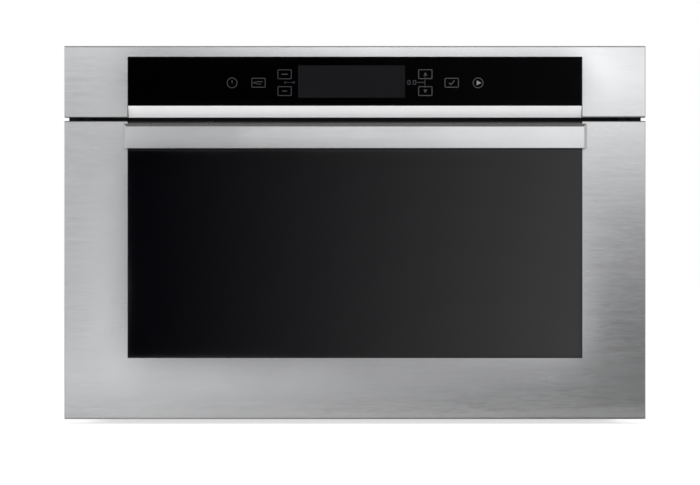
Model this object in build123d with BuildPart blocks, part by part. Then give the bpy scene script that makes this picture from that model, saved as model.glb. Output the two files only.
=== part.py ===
from build123d import *
import os
from math import cos, pi, radians, sin

os.makedirs("parts", exist_ok=True)

# Fascia and door as seen from the front
fascia_width = 595.0
control_height = 73.2
fascia_gap = 3.6
door_height = 305.2
fascia_depth = 22.0
fascia_sheet = 1.0
fold_radius = 1.4
door_ground_gap = 5.0
door_clearance = 3.0

# Glass in the fascia and the door
pillar_width = 64.75
glass_thickness = 4.0
glass_lap = 8.0
glass_play = 0.2
control_glass_height = 50.4
control_glass_margin = 11.0
door_band_height = 62.5
display_width = 109.5
display_height = 33.0
display_offset_x = -3.5
display_offset_z = -0.3

# Slanted strip below the control glass
grip_strip_setback = 8.0
grip_strip_sheet = 1.2
grip_strip_play = 0.6

# Handle bar on two posts
handle_overhang = 3.25
handle_height = 25.2
handle_thickness = 10.0
handle_projection = 26.0
handle_top_margin = 3.4
handle_bevel = 3.0
handle_edge_bevel = 0.8
post_inset = 22.0
post_radius = 6.0
post_foot_radius = 8.0
post_foot_height = 2.0

# Casing
body_side_inset = 23.5
body_top_inset = 22.0
back_space = 18.8
cover_sheet = 1.0
base_sheet = 1.2
panel_sheet = 1.2
case_flange = 14.0
cover_front_gap = 4.0
foot_height = 10.0
foot_radius = 11.0
foot_inset_x = 44.0
foot_inset_front = 95.0
foot_inset_back = 40.0
gland_length = 10.0
gland_radius = 10.0
gland_bore = 3.6

# Front frame
frame_sheet = 1.2
recess_depth = 16.0
flange_side_inset = 3.5
flange_low = 26.0
tab_length = 14.0
tab_width = 18.0
cabinet_hole_radius = 2.25
cabinet_hole_inset = 7.0
cabinet_hole_spacing_z = 200.0
cabinet_hole_low = 80.0

# Cavity
cavity_side_space = 71.5
cavity_head_space = 55.2
cavity_depth = 374.0
cavity_sheet = 1.0
floor_space = 40.0

# Door seal
inner_sheet = 1.0
inner_return = 12.0
choke_width = 32.0
choke_sheet = 1.0
choke_lip = 20.0
choke_lip_return = 8.0
finger_pitch = 20.0
finger_slot = 3.5
seal_gap = 1.0
choke_cover_thickness = 1.5
choke_cover_skirt = 8.0
choke_cover_play = 0.1
window_margin = 10.0
window_sheet_lap = 5.5
screen_thickness = 0.8
inner_window_play = 0.3
inner_wall_inset = 2.0

# Hinges
hinge_setback = 10.0
hinge_rise = 10.0
hinge_inset = 32.5
hinge_eye_radius = 5.0
hinge_pin_radius = 3.0
hinge_press_play = 0.02
running_play = 0.05
hinge_arm_thickness = 5.0
hinge_web_height = 8.0
hinge_side_play = 0.3
clevis_sheet = 2.0
clevis_height = 34.0
clevis_foot = 1.5
hinge_foot_height = 28.0
hinge_foot_lift = 1.0
hinge_foot_thickness = 2.0
hinge_foot_inboard = 10.0
hinge_foot_outboard = 6.0
notch_play = 1.2
spring_space = 9.0

# Latch
hook_inset = 124.0
hook_thickness = 4.0
hook_height = 8.0
hook_barb = 2.5
hook_reach = 20.0
latch_rod_radius = 3.0
latch_rod_setback = 13.0
latch_drop = 11.0
latch_slot_width = 8.0
latch_slot_height = 22.0
latch_slot_lift = 1.0
latch_tab_offset = 14.0
latch_tab_height = 14.0

# Turntable drive
plate_margin = 24.5
plate_thickness = 4.5
plate_rim_height = 12.0
plate_rim_width = 14.0
plate_hub_radius = 26.0
plate_hub_rise = 4.4
roller_radius = 8.0
roller_width = 8.0
roller_play = 0.3
roller_track_radius = 99.0
roller_axle_radius = 1.5
ring_width = 6.0
ring_height = 6.0
coupler_shaft_radius = 5.0
coupler_arm_length = 15.0
coupler_arm_width = 7.0
coupler_arm_height = 6.0
motor_radius = 25.0
motor_height = 18.0
motor_shaft_radius = 3.0

# Small fasteners
screw_radius = 1.9
screw_hole_radius = 2.2
screw_head_radius = 3.6
screw_head_height = 1.8
screw_length = 6.0
pilot_radius = 1.95

# Widths across the front
glass_width = fascia_width - 2 * pillar_width
handle_length = glass_width + 2 * handle_overhang
body_width = fascia_width - 2 * body_side_inset
flange_width = fascia_width - 2 * flange_side_inset
cabinet_hole_spacing_x = flange_width - 2 * cabinet_hole_inset
cavity_width = body_width - 2 * cavity_side_space
hook_spacing = body_width - 2 * hook_inset
plate_radius = cavity_depth / 2 - plate_margin

# Places along the depth, from the handle's face to the end of the gland
body_depth = recess_depth + frame_sheet + cavity_depth + back_space
overall_depth = handle_projection + fascia_depth + body_depth + gland_length
cabinet_y = -overall_depth / 2 + handle_projection + fascia_depth
fascia_y = cabinet_y - fascia_depth
door_back_y = cabinet_y - door_clearance
glass_front_y = fascia_y + fascia_sheet
glass_back_y = glass_front_y + glass_thickness
inner_back_y = glass_back_y + inner_sheet
handle_front_y = fascia_y - handle_projection
handle_back_y = handle_front_y + handle_thickness
seal_y = cabinet_y + recess_depth
seal_back_y = seal_y + frame_sheet
choke_back_y = seal_y - seal_gap
choke_lip_y = choke_back_y - choke_cover_thickness
cavity_back_y = seal_back_y + cavity_depth
turntable_y = (seal_back_y + cavity_back_y) / 2
body_back_y = cabinet_y + body_depth
panel_front_y = body_back_y - panel_sheet
cover_front_y = cabinet_y + cover_front_gap

# Heights above the feet
base_z = foot_height
base_top_z = base_z + base_sheet
door_low_z = door_ground_gap
door_high_z = door_low_z + door_height
control_low_z = door_high_z + fascia_gap
control_high_z = control_low_z + control_height
body_top_z = control_high_z - body_top_inset
roof_z = body_top_z - cover_sheet
cavity_low_z = base_z + floor_space
cavity_high_z = door_high_z - cavity_head_space
control_glass_high_z = control_high_z - control_glass_margin
control_glass_low_z = control_glass_high_z - control_glass_height
door_glass_low_z = door_low_z + door_band_height
handle_high_z = door_high_z - handle_top_margin
handle_low_z = handle_high_z - handle_height
handle_mid_z = (handle_low_z + handle_high_z) / 2
hinge_y = fascia_y + hinge_setback
hinge_z = door_low_z + hinge_rise
latch_z = door_high_z - latch_drop
latch_rod_y = fascia_y + latch_rod_setback

# Half widths
fascia_half = fascia_width / 2
glass_half = glass_width / 2
inner_half = body_width / 2 - cover_sheet
cavity_half = cavity_width / 2
flange_half = flange_width / 2
hinge_x = fascia_half - hinge_inset


def facing(depth):
    """Sketch plane that faces the front at a depth y; its extrusions come forward."""
    return Plane.XZ.offset(-depth)


def level(height):
    """Horizontal sketch plane at a height z; its extrusions rise."""
    return Plane.XY.offset(height)


def span(low_x, high_x, low_y, high_y, mode=Mode.ADD):
    """Rectangle between two corners of the sketch."""
    with Locations(((low_x + high_x) / 2, (low_y + high_y) / 2)):
        Rectangle(high_x - low_x, high_y - low_y, mode=mode)


def side_holes(places):
    """Screw holes through both side walls at places given as (y, z)."""
    with BuildSketch(Plane.YZ.offset(-body_width / 2)) as holes:
        with Locations(*places):
            Circle(screw_hole_radius)
    extrude(holes.sketch, amount=body_width, mode=Mode.SUBTRACT)


def pan_screw(plane, length=screw_length):
    """Pan-head screw whose head stands on the plane and whose shank goes behind it."""
    with BuildSketch(plane) as head:
        Circle(screw_head_radius)
    extrude(head.sketch, amount=screw_head_height)
    with BuildSketch(plane) as shank:
        Circle(screw_radius)
    extrude(shank.sketch, amount=-length)


# Screws through the cover's sides, as places (y, z): into the base plate, front frame and back panel
side_screw_inset = 40.0
side_screw_heights = (120.0, 300.0)
side_screw_base_z = base_top_z + case_flange / 2
side_screw_front_y = (cover_front_y + seal_back_y) / 2
side_screw_back_y = panel_front_y - case_flange / 2
base_screws = [(seal_back_y + side_screw_inset, side_screw_base_z),
               (panel_front_y - side_screw_inset, side_screw_base_z)]
front_screws = [(side_screw_front_y, height) for height in side_screw_heights]
back_screws = [(side_screw_back_y, height) for height in side_screw_heights]

# Front frame: sealing plate round the cavity mouth, recess walls and the flange on the cabinet
frame_top_z = roof_z
flange_high_z = control_high_z - fascia_sheet
tab_low_z = control_low_z + fascia_sheet
tab_x = inner_half + tab_width / 2
fascia_screw_y = cabinet_y - frame_sheet - tab_length / 2
latch_slot_z = latch_z + latch_slot_lift
harness_window = 50.0
harness_window_height = 20.0
harness_window_z = (control_low_z + frame_top_z) / 2
hinge_foot_low = base_top_z + hinge_foot_lift
hinge_screw_offset = 7.0
hinge_screw_z = hinge_foot_low + hinge_foot_height - hinge_screw_offset
with BuildPart() as front_frame:
    with BuildSketch(facing(seal_back_y)):
        span(-inner_half, inner_half, base_top_z, frame_top_z)
        span(-cavity_half, cavity_half, cavity_low_z, cavity_high_z, mode=Mode.SUBTRACT)
        with Locations((-hook_spacing / 2, latch_slot_z), (hook_spacing / 2, latch_slot_z)):
            Rectangle(latch_slot_width, latch_slot_height, mode=Mode.SUBTRACT)
        with Locations((0, harness_window_z)):
            Rectangle(harness_window, harness_window_height, mode=Mode.SUBTRACT)
        with Locations((-hinge_x, hinge_screw_z), (hinge_x, hinge_screw_z)):
            Circle(screw_hole_radius, mode=Mode.SUBTRACT)
    extrude(amount=frame_sheet)
    with BuildSketch(facing(seal_y)):
        span(-inner_half, inner_half, flange_low, frame_top_z)
        span(-inner_half + frame_sheet, inner_half - frame_sheet, flange_low,
             frame_top_z - frame_sheet, mode=Mode.SUBTRACT)
    extrude(amount=recess_depth + frame_sheet)
    with BuildSketch(facing(cabinet_y)):
        span(-flange_half, flange_half, flange_low, flange_high_z)
        span(-inner_half + frame_sheet, inner_half - frame_sheet, flange_low,
             frame_top_z - frame_sheet, mode=Mode.SUBTRACT)
        with Locations((0, cabinet_hole_low + cabinet_hole_spacing_z / 2)):
            with GridLocations(cabinet_hole_spacing_x, cabinet_hole_spacing_z, 2, 2):
                Circle(cabinet_hole_radius, mode=Mode.SUBTRACT)
    extrude(amount=frame_sheet)
    with BuildSketch(level(tab_low_z)):
        with Locations((-tab_x, fascia_screw_y), (tab_x, fascia_screw_y)):
            Rectangle(tab_width, tab_length)
            Circle(screw_hole_radius, mode=Mode.SUBTRACT)
    extrude(amount=frame_sheet)
    with BuildSketch(level(flange_high_z - frame_sheet)):
        with Locations((-tab_x, fascia_screw_y), (0, fascia_screw_y), (tab_x, fascia_screw_y)):
            Rectangle(tab_width, tab_length)
    extrude(amount=frame_sheet)
    side_holes(front_screws)
front_frame.part.label = "front_frame"
export_step(front_frame.part, "parts/front_frame.step")

# Control fascia: folded steel cover, open behind, cut out for the glass and the grip strip
with BuildPart() as control_fascia:
    with BuildSketch(facing(cabinet_y - frame_sheet)):
        span(-fascia_half, fascia_half, control_low_z, control_high_z)
    extrude(amount=fascia_depth - frame_sheet)
    fillet(control_fascia.faces().sort_by(Axis.Y)[0].edges(), fold_radius)
    with BuildSketch(facing(cabinet_y - frame_sheet)):
        span(-fascia_half + fascia_sheet, fascia_half - fascia_sheet,
             control_low_z + fascia_sheet, control_high_z - fascia_sheet)
    extrude(amount=fascia_depth - frame_sheet - fascia_sheet, mode=Mode.SUBTRACT)
    with BuildSketch(facing(cabinet_y - frame_sheet)):
        span(-glass_half, glass_half, control_low_z - fascia_sheet, control_glass_high_z)
    extrude(amount=fascia_depth, mode=Mode.SUBTRACT)
    with BuildSketch(level(control_low_z - fascia_sheet)):
        with Locations((-tab_x, fascia_screw_y), (tab_x, fascia_screw_y)):
            Circle(screw_hole_radius)
    extrude(amount=3 * fascia_sheet, mode=Mode.SUBTRACT)
control_fascia.part.label = "control_fascia"
export_step(control_fascia.part, "parts/control_fascia.step")

# Control glass: black panel flush with the steel
control_glass_y = fascia_y + glass_play
control_glass_back_y = control_glass_y + glass_thickness
with BuildPart() as control_glass:
    with BuildSketch(facing(control_glass_back_y)):
        span(-glass_half + glass_play, glass_half - glass_play,
             control_glass_low_z + glass_play, control_glass_high_z - glass_play)
    extrude(amount=glass_thickness)
    chamfer(control_glass.faces().sort_by(Axis.Y)[0].edges(), glass_play)
control_glass.part.label = "control_glass"
export_step(control_glass.part, "parts/control_glass.step")

# Grip strip: bent steel that slopes back to give the fingers room over the handle
strip_half = glass_half - grip_strip_play
strip_low_z = control_low_z + glass_play
strip_lip_z = control_glass_low_z - grip_strip_sheet
strip_foot_y = cabinet_y - door_clearance
with BuildPart() as grip_strip:
    with BuildSketch(Plane.YZ.offset(-strip_half)):
        with BuildLine():
            Polyline(
                (fascia_y + glass_play, control_glass_low_z),
                (control_glass_back_y, control_glass_low_z),
                (control_glass_back_y, strip_lip_z),
                (fascia_y + glass_play + grip_strip_sheet, strip_lip_z),
                (fascia_y + grip_strip_setback + grip_strip_sheet, strip_low_z + grip_strip_sheet),
                (strip_foot_y, strip_low_z + grip_strip_sheet),
                (strip_foot_y, strip_low_z),
                (fascia_y + grip_strip_setback, strip_low_z),
                (fascia_y + glass_play, control_glass_low_z - glass_play),
                close=True,
            )
        make_face()
    extrude(amount=2 * strip_half)
grip_strip.part.label = "grip_strip"
export_step(grip_strip.part, "parts/grip_strip.step")

# Panel carrier: moulded plate behind the glass with a window for the display and pads on the fascia
carrier_lap = 12.0
carrier_thickness = 2.5
carrier_low_z = control_glass_low_z + grip_strip_sheet
carrier_high_z = flange_high_z - 2 * frame_sheet
carrier_back_y = control_glass_back_y + carrier_thickness
carrier_rim = 10.0
board_post_radius = 3.0
board_gap = 9.0
board_half_width = 150.0
board_height = 30.0
board_thickness = 1.6
board_roof_gap = 3.0
board_z = frame_top_z - frame_sheet - board_roof_gap - board_height / 2
board_post_inset_x = 8.0
board_post_inset_z = 6.0
board_post_x = board_half_width - board_post_inset_x
board_post_z = board_height / 2 - board_post_inset_z
display_x = display_offset_x
display_z = (control_glass_low_z + control_glass_high_z) / 2 + display_offset_z
display_play = 0.5
with BuildPart() as panel_carrier:
    with BuildSketch(facing(carrier_back_y)):
        span(-glass_half - carrier_lap, glass_half + carrier_lap, carrier_low_z, carrier_high_z)
        with Locations((display_x, display_z)):
            Rectangle(display_width, display_height, mode=Mode.SUBTRACT)
    extrude(amount=carrier_thickness)
    with BuildSketch(facing(control_glass_back_y)):
        span(-glass_half - carrier_lap, glass_half + carrier_lap, carrier_low_z, carrier_high_z)
        span(-glass_half, glass_half, carrier_low_z, control_glass_high_z, mode=Mode.SUBTRACT)
    extrude(amount=control_glass_back_y - fascia_y - fascia_sheet)
    with BuildSketch(facing(carrier_back_y + carrier_rim)):
        span(-glass_half - carrier_lap, glass_half + carrier_lap, carrier_low_z, carrier_high_z)
        offset(amount=-carrier_thickness, mode=Mode.SUBTRACT)
    extrude(amount=carrier_rim)
    with BuildSketch(facing(carrier_back_y + board_gap)):
        with Locations((0, board_z)):
            with GridLocations(2 * board_post_x, 2 * board_post_z, 2, 2):
                Circle(board_post_radius)
                Circle(screw_radius + running_play, mode=Mode.SUBTRACT)
    extrude(amount=board_gap)
panel_carrier.part.label = "panel_carrier"
export_step(panel_carrier.part, "parts/panel_carrier.step")

# Display module: framed cell that stands in the carrier's window, against the back of the glass
display_depth = 7.0
display_lap = 3.0
with BuildPart() as display_module:
    with BuildSketch(facing(control_glass_back_y + display_depth)):
        with Locations((display_x, display_z)):
            Rectangle(display_width - 2 * display_play, display_height - 2 * display_play)
    extrude(amount=display_depth)
    with BuildSketch(facing(carrier_back_y + carrier_thickness / 2)):
        with Locations((display_x, display_z)):
            Rectangle(display_width + 2 * display_lap, display_height + 2 * display_lap)
            Rectangle(display_width - 2 * display_play, display_height - 2 * display_play,
                      mode=Mode.SUBTRACT)
    extrude(amount=carrier_thickness / 2)
display_module.part.label = "display_module"
export_step(display_module.part, "parts/display_module.step")

# Control board: circuit board on the carrier's posts with its relays, transformer and connectors
board_front_y = carrier_back_y + board_gap
board_back_y = board_front_y + board_thickness
relay_width = 16.0
relay_depth = 12.0
relay_height = 19.0
relay_row_x = 60.0
relay_pitch = 24.0
low_voltage_x = -80.0
low_voltage_size = 24.0
connector_x = 128.0
with BuildPart() as control_board:
    with BuildSketch(facing(board_back_y)):
        with Locations((0, board_z)):
            Rectangle(2 * board_half_width, board_height)
            with GridLocations(2 * board_post_x, 2 * board_post_z, 2, 2):
                Circle(screw_hole_radius, mode=Mode.SUBTRACT)
    extrude(amount=board_thickness)
    with BuildSketch(facing(board_back_y + relay_depth)):
        with Locations((relay_row_x, board_z)):
            with GridLocations(relay_pitch, relay_pitch, 3, 1):
                Rectangle(relay_width, relay_height)
    extrude(amount=relay_depth)
    with BuildSketch(facing(board_back_y + relay_depth)):
        with Locations((low_voltage_x, board_z)):
            Rectangle(low_voltage_size, low_voltage_size)
        with Locations((connector_x, board_z)):
            Rectangle(relay_width / 2, relay_height)
    extrude(amount=relay_depth)
control_board.part.label = "control_board"
export_step(control_board.part, "parts/control_board.step")

# Top cover: roof and both sides bent from one sheet, with a row of air slots near the back
vent_slot_length = 26.0
vent_slot_width = 3.4
vent_pitch = 9.0
vent_columns = 8
roof_vent_back = 30.0
cover_bend = 0.8
with BuildPart() as top_cover:
    with BuildSketch(facing(body_back_y)):
        span(-body_width / 2, body_width / 2, base_z, body_top_z)
        span(-inner_half, inner_half, base_z, roof_z, mode=Mode.SUBTRACT)
    extrude(amount=body_back_y - cover_front_y)
    fillet(top_cover.edges().filter_by(Axis.Y).group_by(Axis.Z)[-1], cover_bend)
    with BuildSketch(level(roof_z)):
        with Locations((0, body_back_y - roof_vent_back)):
            with GridLocations(vent_pitch, vent_slot_length + vent_pitch, 2 * vent_columns, 1):
                Rectangle(vent_slot_width, vent_slot_length)
    extrude(amount=cover_sheet, mode=Mode.SUBTRACT)
    side_holes(base_screws + front_screws + back_screws)
top_cover.part.label = "top_cover"
export_step(top_cover.part, "parts/top_cover.step")

# Base plate: tray with upturned sides, feet holes, air holes and pressed stiffening beads
foot_peg_radius = 4.0
foot_x = body_width / 2 - foot_inset_x
foot_front_y = seal_back_y + foot_inset_front
foot_back_y = body_back_y - foot_inset_back
foot_places = [(x, y) for x in (-foot_x, foot_x) for y in (foot_front_y, foot_back_y)]
bead_height = 3.0
bead_width = 16.0
bead_slope = 30.0
bead_end_margin = 75.0
bead_length = body_depth - 2 * bead_end_margin
bead_x = 120.0
air_slot_inset = 84.0
air_slot_x = inner_half - air_slot_inset
air_slot_count = 6
with BuildPart() as base_plate:
    with BuildSketch(level(base_z)):
        span(-inner_half, inner_half, seal_y, panel_front_y)
        with Locations(*foot_places):
            Circle(foot_peg_radius + glass_play, mode=Mode.SUBTRACT)
        for side in (-1, 1):
            with Locations((side * air_slot_x, turntable_y)):
                with GridLocations(0, vent_pitch, 1, air_slot_count):
                    Rectangle(vent_slot_length, vent_slot_width, mode=Mode.SUBTRACT)
    extrude(amount=base_sheet)
    with BuildSketch(level(base_top_z)):
        span(-inner_half, inner_half, seal_back_y, panel_front_y)
        span(-inner_half + base_sheet, inner_half - base_sheet, seal_back_y,
             panel_front_y, mode=Mode.SUBTRACT)
    extrude(amount=case_flange)
    with BuildSketch(level(base_top_z)):
        with Locations((-bead_x, turntable_y), (bead_x, turntable_y)):
            SlotOverall(bead_length, bead_width, rotation=90)
    extrude(amount=bead_height, taper=bead_slope)
    with BuildSketch(level(base_z)):
        with Locations((-bead_x, turntable_y), (bead_x, turntable_y)):
            SlotOverall(bead_length - 2 * base_sheet, bead_width - 2 * base_sheet, rotation=90)
    extrude(amount=bead_height, taper=bead_slope, mode=Mode.SUBTRACT)
    side_holes(base_screws)
base_plate.part.label = "base_plate"
export_step(base_plate.part, "parts/base_plate.step")

# Feet: tapered pads with a peg pushed into the base plate and a hollow sole
foot_sole_radius = 6.0
foot_sole_depth = 2.0
foot_peg_reach = 2.0
foot_peg_height = base_sheet + foot_peg_reach
foot_taper = 1.5
with BuildPart() as feet:
    for foot_x_place, foot_y_place in foot_places:
        foot_plane = Plane((foot_x_place, foot_y_place, 0), x_dir=(1, 0, 0), z_dir=(0, -1, 0))
        with BuildSketch(foot_plane):
            with BuildLine():
                Polyline(
                    (0, foot_sole_depth),
                    (foot_sole_radius, foot_sole_depth),
                    (foot_sole_radius, 0),
                    (foot_radius - foot_taper, 0),
                    (foot_radius, foot_height),
                    (foot_peg_radius, foot_height),
                    (foot_peg_radius, foot_height + foot_peg_height),
                    (0, foot_height + foot_peg_height),
                    close=True,
                )
            make_face()
        revolve(axis=Axis((foot_x_place, foot_y_place, 0), (0, 0, 1)))
feet.part.label = "feet"
export_step(feet.part, "parts/feet.step")

# Back panel: flat sheet with the fan's intake slots, outlet slots and the gland's hole
shelf_gap = 1.0
shelf_sheet = 1.2
shelf_low_z = cavity_high_z + cavity_sheet + shelf_gap
shelf_top_z = shelf_low_z + shelf_sheet
fan_inset = 123.0
fan_roof_gap = 1.8
fan_x = inner_half - fan_inset
fan_frame_size = roof_z - shelf_top_z - fan_roof_gap
fan_z = shelf_top_z + fan_frame_size / 2
gland_inset = 68.0
gland_lift = 41.8
gland_x = -inner_half + gland_inset
gland_z = shelf_top_z + gland_lift
outlet_x = -60.0
vent_rows = 8
vent_bridge = 6.0
gland_seat_lap = 2.0
with BuildPart() as back_panel:
    with BuildSketch(facing(body_back_y)):
        span(-inner_half, inner_half, base_z, roof_z)
        with Locations((fan_x, fan_z)):
            with GridLocations(vent_slot_length + vent_bridge, vent_pitch, 3, vent_rows):
                Rectangle(vent_slot_length, vent_slot_width, mode=Mode.SUBTRACT)
        with Locations((outlet_x, fan_z)):
            with GridLocations(vent_slot_length + vent_bridge, vent_pitch, 3, vent_rows):
                Rectangle(vent_slot_length, vent_slot_width, mode=Mode.SUBTRACT)
        with Locations((gland_x, gland_z)):
            Circle(gland_radius - gland_seat_lap, mode=Mode.SUBTRACT)
    extrude(amount=panel_sheet)
    with BuildSketch(facing(panel_front_y)):
        span(-inner_half, inner_half, base_top_z, roof_z)
        span(-inner_half + panel_sheet, inner_half - panel_sheet, base_top_z,
             roof_z - panel_sheet, mode=Mode.SUBTRACT)
        span(-inner_half, inner_half, base_top_z, base_top_z + 2 * case_flange, mode=Mode.SUBTRACT)
    extrude(amount=case_flange)
    side_holes(back_screws)
back_panel.part.label = "back_panel"
export_step(back_panel.part, "parts/back_panel.step")

# Cable gland: bored bush clamped through the back panel
gland_seat = gland_radius - gland_seat_lap - glass_play
gland_nut = 6.0
gland_nose_taper = 1.0
with BuildPart() as cable_gland:
    with BuildSketch(Plane((gland_x, 0, gland_z), x_dir=(1, 0, 0), z_dir=(0, 0, 1))):
        with BuildLine():
            Polyline(
                (gland_bore, panel_front_y - gland_nut),
                (gland_radius, panel_front_y - gland_nut),
                (gland_radius, panel_front_y),
                (gland_seat, panel_front_y),
                (gland_seat, body_back_y),
                (gland_radius, body_back_y),
                (gland_radius, body_back_y + gland_length / 2),
                (gland_seat - gland_nose_taper, body_back_y + gland_length),
                (gland_bore, body_back_y + gland_length),
                close=True,
            )
        make_face()
    revolve(axis=Axis((gland_x, 0, gland_z), (0, 1, 0)))
cable_gland.part.label = "cable_gland"
export_step(cable_gland.part, "parts/cable_gland.step")

# Cavity wrap: roof and sides of the cooking space with the window for the waveguide
guide_depth = 40.0
guide_width = 90.0
guide_sheet = 1.0
guide_lift = 60.0
guide_roof_gap = 6.0
guide_end_margin = 12.0
guide_low_z = cavity_low_z + guide_lift
guide_high_z = roof_z - guide_roof_gap
guide_window_low_z = guide_low_z + guide_end_margin
guide_window_height = 60.0
guide_window_width = 70.0
guide_window_z = guide_window_low_z + guide_window_height / 2
lamp_back_inset = 90.0
lamp_roof_inset = 45.0
lamp_y = cavity_back_y - lamp_back_inset
lamp_z = cavity_high_z - lamp_roof_inset
lamp_hole_size = 3.4
lamp_hole_pitch = 6.4
with BuildPart() as cavity_wrap:
    with BuildSketch(facing(cavity_back_y)):
        span(-cavity_half - cavity_sheet, cavity_half + cavity_sheet,
             cavity_low_z - cavity_sheet, cavity_high_z + cavity_sheet)
        span(-cavity_half, cavity_half, cavity_low_z - cavity_sheet, cavity_high_z,
             mode=Mode.SUBTRACT)
    extrude(amount=cavity_depth)
    with BuildSketch(Plane.YZ.offset(cavity_half)):
        with Locations((turntable_y, guide_window_z)):
            Rectangle(guide_window_width, guide_window_height)
        with Locations((lamp_y, lamp_z)):
            with GridLocations(lamp_hole_pitch, lamp_hole_pitch, 4, 4):
                Rectangle(lamp_hole_size, lamp_hole_size)
    extrude(amount=cavity_sheet, mode=Mode.SUBTRACT)
cavity_wrap.part.label = "cavity_wrap"
export_step(cavity_wrap.part, "parts/cavity_wrap.step")

# Cavity floor: sheet with a groove pressed down round the drive and the shaft's hole
shaft_hole_radius = 6.5
floor_groove_radius = 128.0
floor_groove_width = 8.0
floor_groove_depth = 2.0
floor_groove_slope = 35.0
with BuildPart() as cavity_floor:
    with BuildSketch(level(cavity_low_z - cavity_sheet)):
        span(-cavity_half, cavity_half, seal_back_y, cavity_back_y)
        with Locations((0, turntable_y)):
            Circle(shaft_hole_radius, mode=Mode.SUBTRACT)
    extrude(amount=cavity_sheet)
    with BuildSketch(level(cavity_low_z - cavity_sheet)):
        with Locations((0, turntable_y)):
            Circle(floor_groove_radius + floor_groove_width / 2)
            Circle(floor_groove_radius - floor_groove_width / 2, mode=Mode.SUBTRACT)
    extrude(amount=-floor_groove_depth, taper=floor_groove_slope)
    with BuildSketch(level(cavity_low_z)):
        with Locations((0, turntable_y)):
            Circle(floor_groove_radius + floor_groove_width / 2 - cavity_sheet)
            Circle(floor_groove_radius - floor_groove_width / 2 + cavity_sheet, mode=Mode.SUBTRACT)
    extrude(amount=-floor_groove_depth, taper=floor_groove_slope, mode=Mode.SUBTRACT)
cavity_floor.part.label = "cavity_floor"
export_step(cavity_floor.part, "parts/cavity_floor.step")

# Cavity back: rear wall with a pressed rectangular field
back_field_margin = 30.0
back_field_depth = 3.0
back_field_corner = 8.0
back_field_slope = 30.0
with BuildPart() as cavity_back:
    with BuildSketch(facing(cavity_back_y + cavity_sheet)):
        span(-cavity_half - cavity_sheet, cavity_half + cavity_sheet,
             cavity_low_z - cavity_sheet, cavity_high_z + cavity_sheet)
    extrude(amount=cavity_sheet)
    with BuildSketch(facing(cavity_back_y + cavity_sheet)):
        span(-cavity_half + back_field_margin, cavity_half - back_field_margin,
             cavity_low_z + back_field_margin, cavity_high_z - back_field_margin)
        fillet(vertices(), back_field_corner)
    extrude(amount=-back_field_depth, taper=back_field_slope)
    with BuildSketch(facing(cavity_back_y)):
        span(-cavity_half + back_field_margin + cavity_sheet,
             cavity_half - back_field_margin - cavity_sheet,
             cavity_low_z + back_field_margin + cavity_sheet,
             cavity_high_z - back_field_margin - cavity_sheet)
        fillet(vertices(), back_field_corner)
    extrude(amount=-back_field_depth, taper=back_field_slope, mode=Mode.SUBTRACT)
cavity_back.part.label = "cavity_back"
export_step(cavity_back.part, "parts/cavity_back.step")

# Component shelf: folded tray over the cavity that carries the power parts
guide_front_x = cavity_half + cavity_sheet
guide_outer_x = guide_front_x + guide_depth
shelf_side_play = 0.5
with BuildPart() as component_shelf:
    with BuildSketch(level(shelf_low_z)):
        span(-inner_half, inner_half, seal_back_y, panel_front_y - case_flange)
        span(guide_front_x - shelf_side_play, inner_half,
             turntable_y - guide_width / 2 - shelf_side_play,
             turntable_y + guide_width / 2 + shelf_side_play, mode=Mode.SUBTRACT)
    extrude(amount=shelf_sheet)
    with BuildSketch(facing(seal_back_y + shelf_sheet)):
        span(-inner_half, inner_half, shelf_top_z, shelf_top_z + case_flange)
    extrude(amount=shelf_sheet)
    with BuildSketch(facing(panel_front_y - case_flange)):
        span(-inner_half + panel_sheet, fan_x - fan_frame_size / 2 - shelf_side_play,
             shelf_top_z, shelf_top_z + case_flange)
    extrude(amount=shelf_sheet)
component_shelf.part.label = "component_shelf"
export_step(component_shelf.part, "parts/component_shelf.step")

# Waveguide: box channel on the right wall, open to the cavity window and to the magnetron's antenna
magnetron_z = fan_z
antenna_hole_radius = 10.0
with BuildPart() as waveguide:
    with BuildSketch(level(guide_low_z)):
        span(guide_front_x, guide_outer_x, turntable_y - guide_width / 2, turntable_y + guide_width / 2)
    extrude(amount=guide_high_z - guide_low_z)
    with BuildSketch(level(guide_low_z + guide_sheet)):
        span(guide_front_x + guide_sheet, guide_outer_x - guide_sheet,
             turntable_y - guide_width / 2 + guide_sheet, turntable_y + guide_width / 2 - guide_sheet)
    extrude(amount=guide_high_z - guide_low_z - 2 * guide_sheet, mode=Mode.SUBTRACT)
    with BuildSketch(Plane.YZ.offset(guide_front_x)):
        with Locations((turntable_y, guide_window_z)):
            Rectangle(guide_window_width, guide_window_height)
        with Locations((turntable_y, magnetron_z)):
            Circle(antenna_hole_radius)
    extrude(amount=guide_sheet, mode=Mode.SUBTRACT)
waveguide.part.label = "waveguide"
export_step(waveguide.part, "parts/waveguide.step")

# Waveguide cover: thin plate over the window, inside the cavity, with two clips through it
guide_cover_lap = 10.0
guide_cover_thickness = 1.0
with BuildPart() as waveguide_cover:
    with BuildSketch(Plane.YZ.offset(cavity_half - guide_cover_thickness)):
        with Locations((turntable_y, guide_window_z)):
            Rectangle(guide_window_width + 2 * guide_cover_lap, guide_window_height + 2 * guide_cover_lap)
        fillet(vertices(), guide_cover_lap / 2)
    extrude(amount=guide_cover_thickness)
waveguide_cover.part.label = "waveguide_cover"
export_step(waveguide_cover.part, "parts/waveguide_cover.step")

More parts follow.
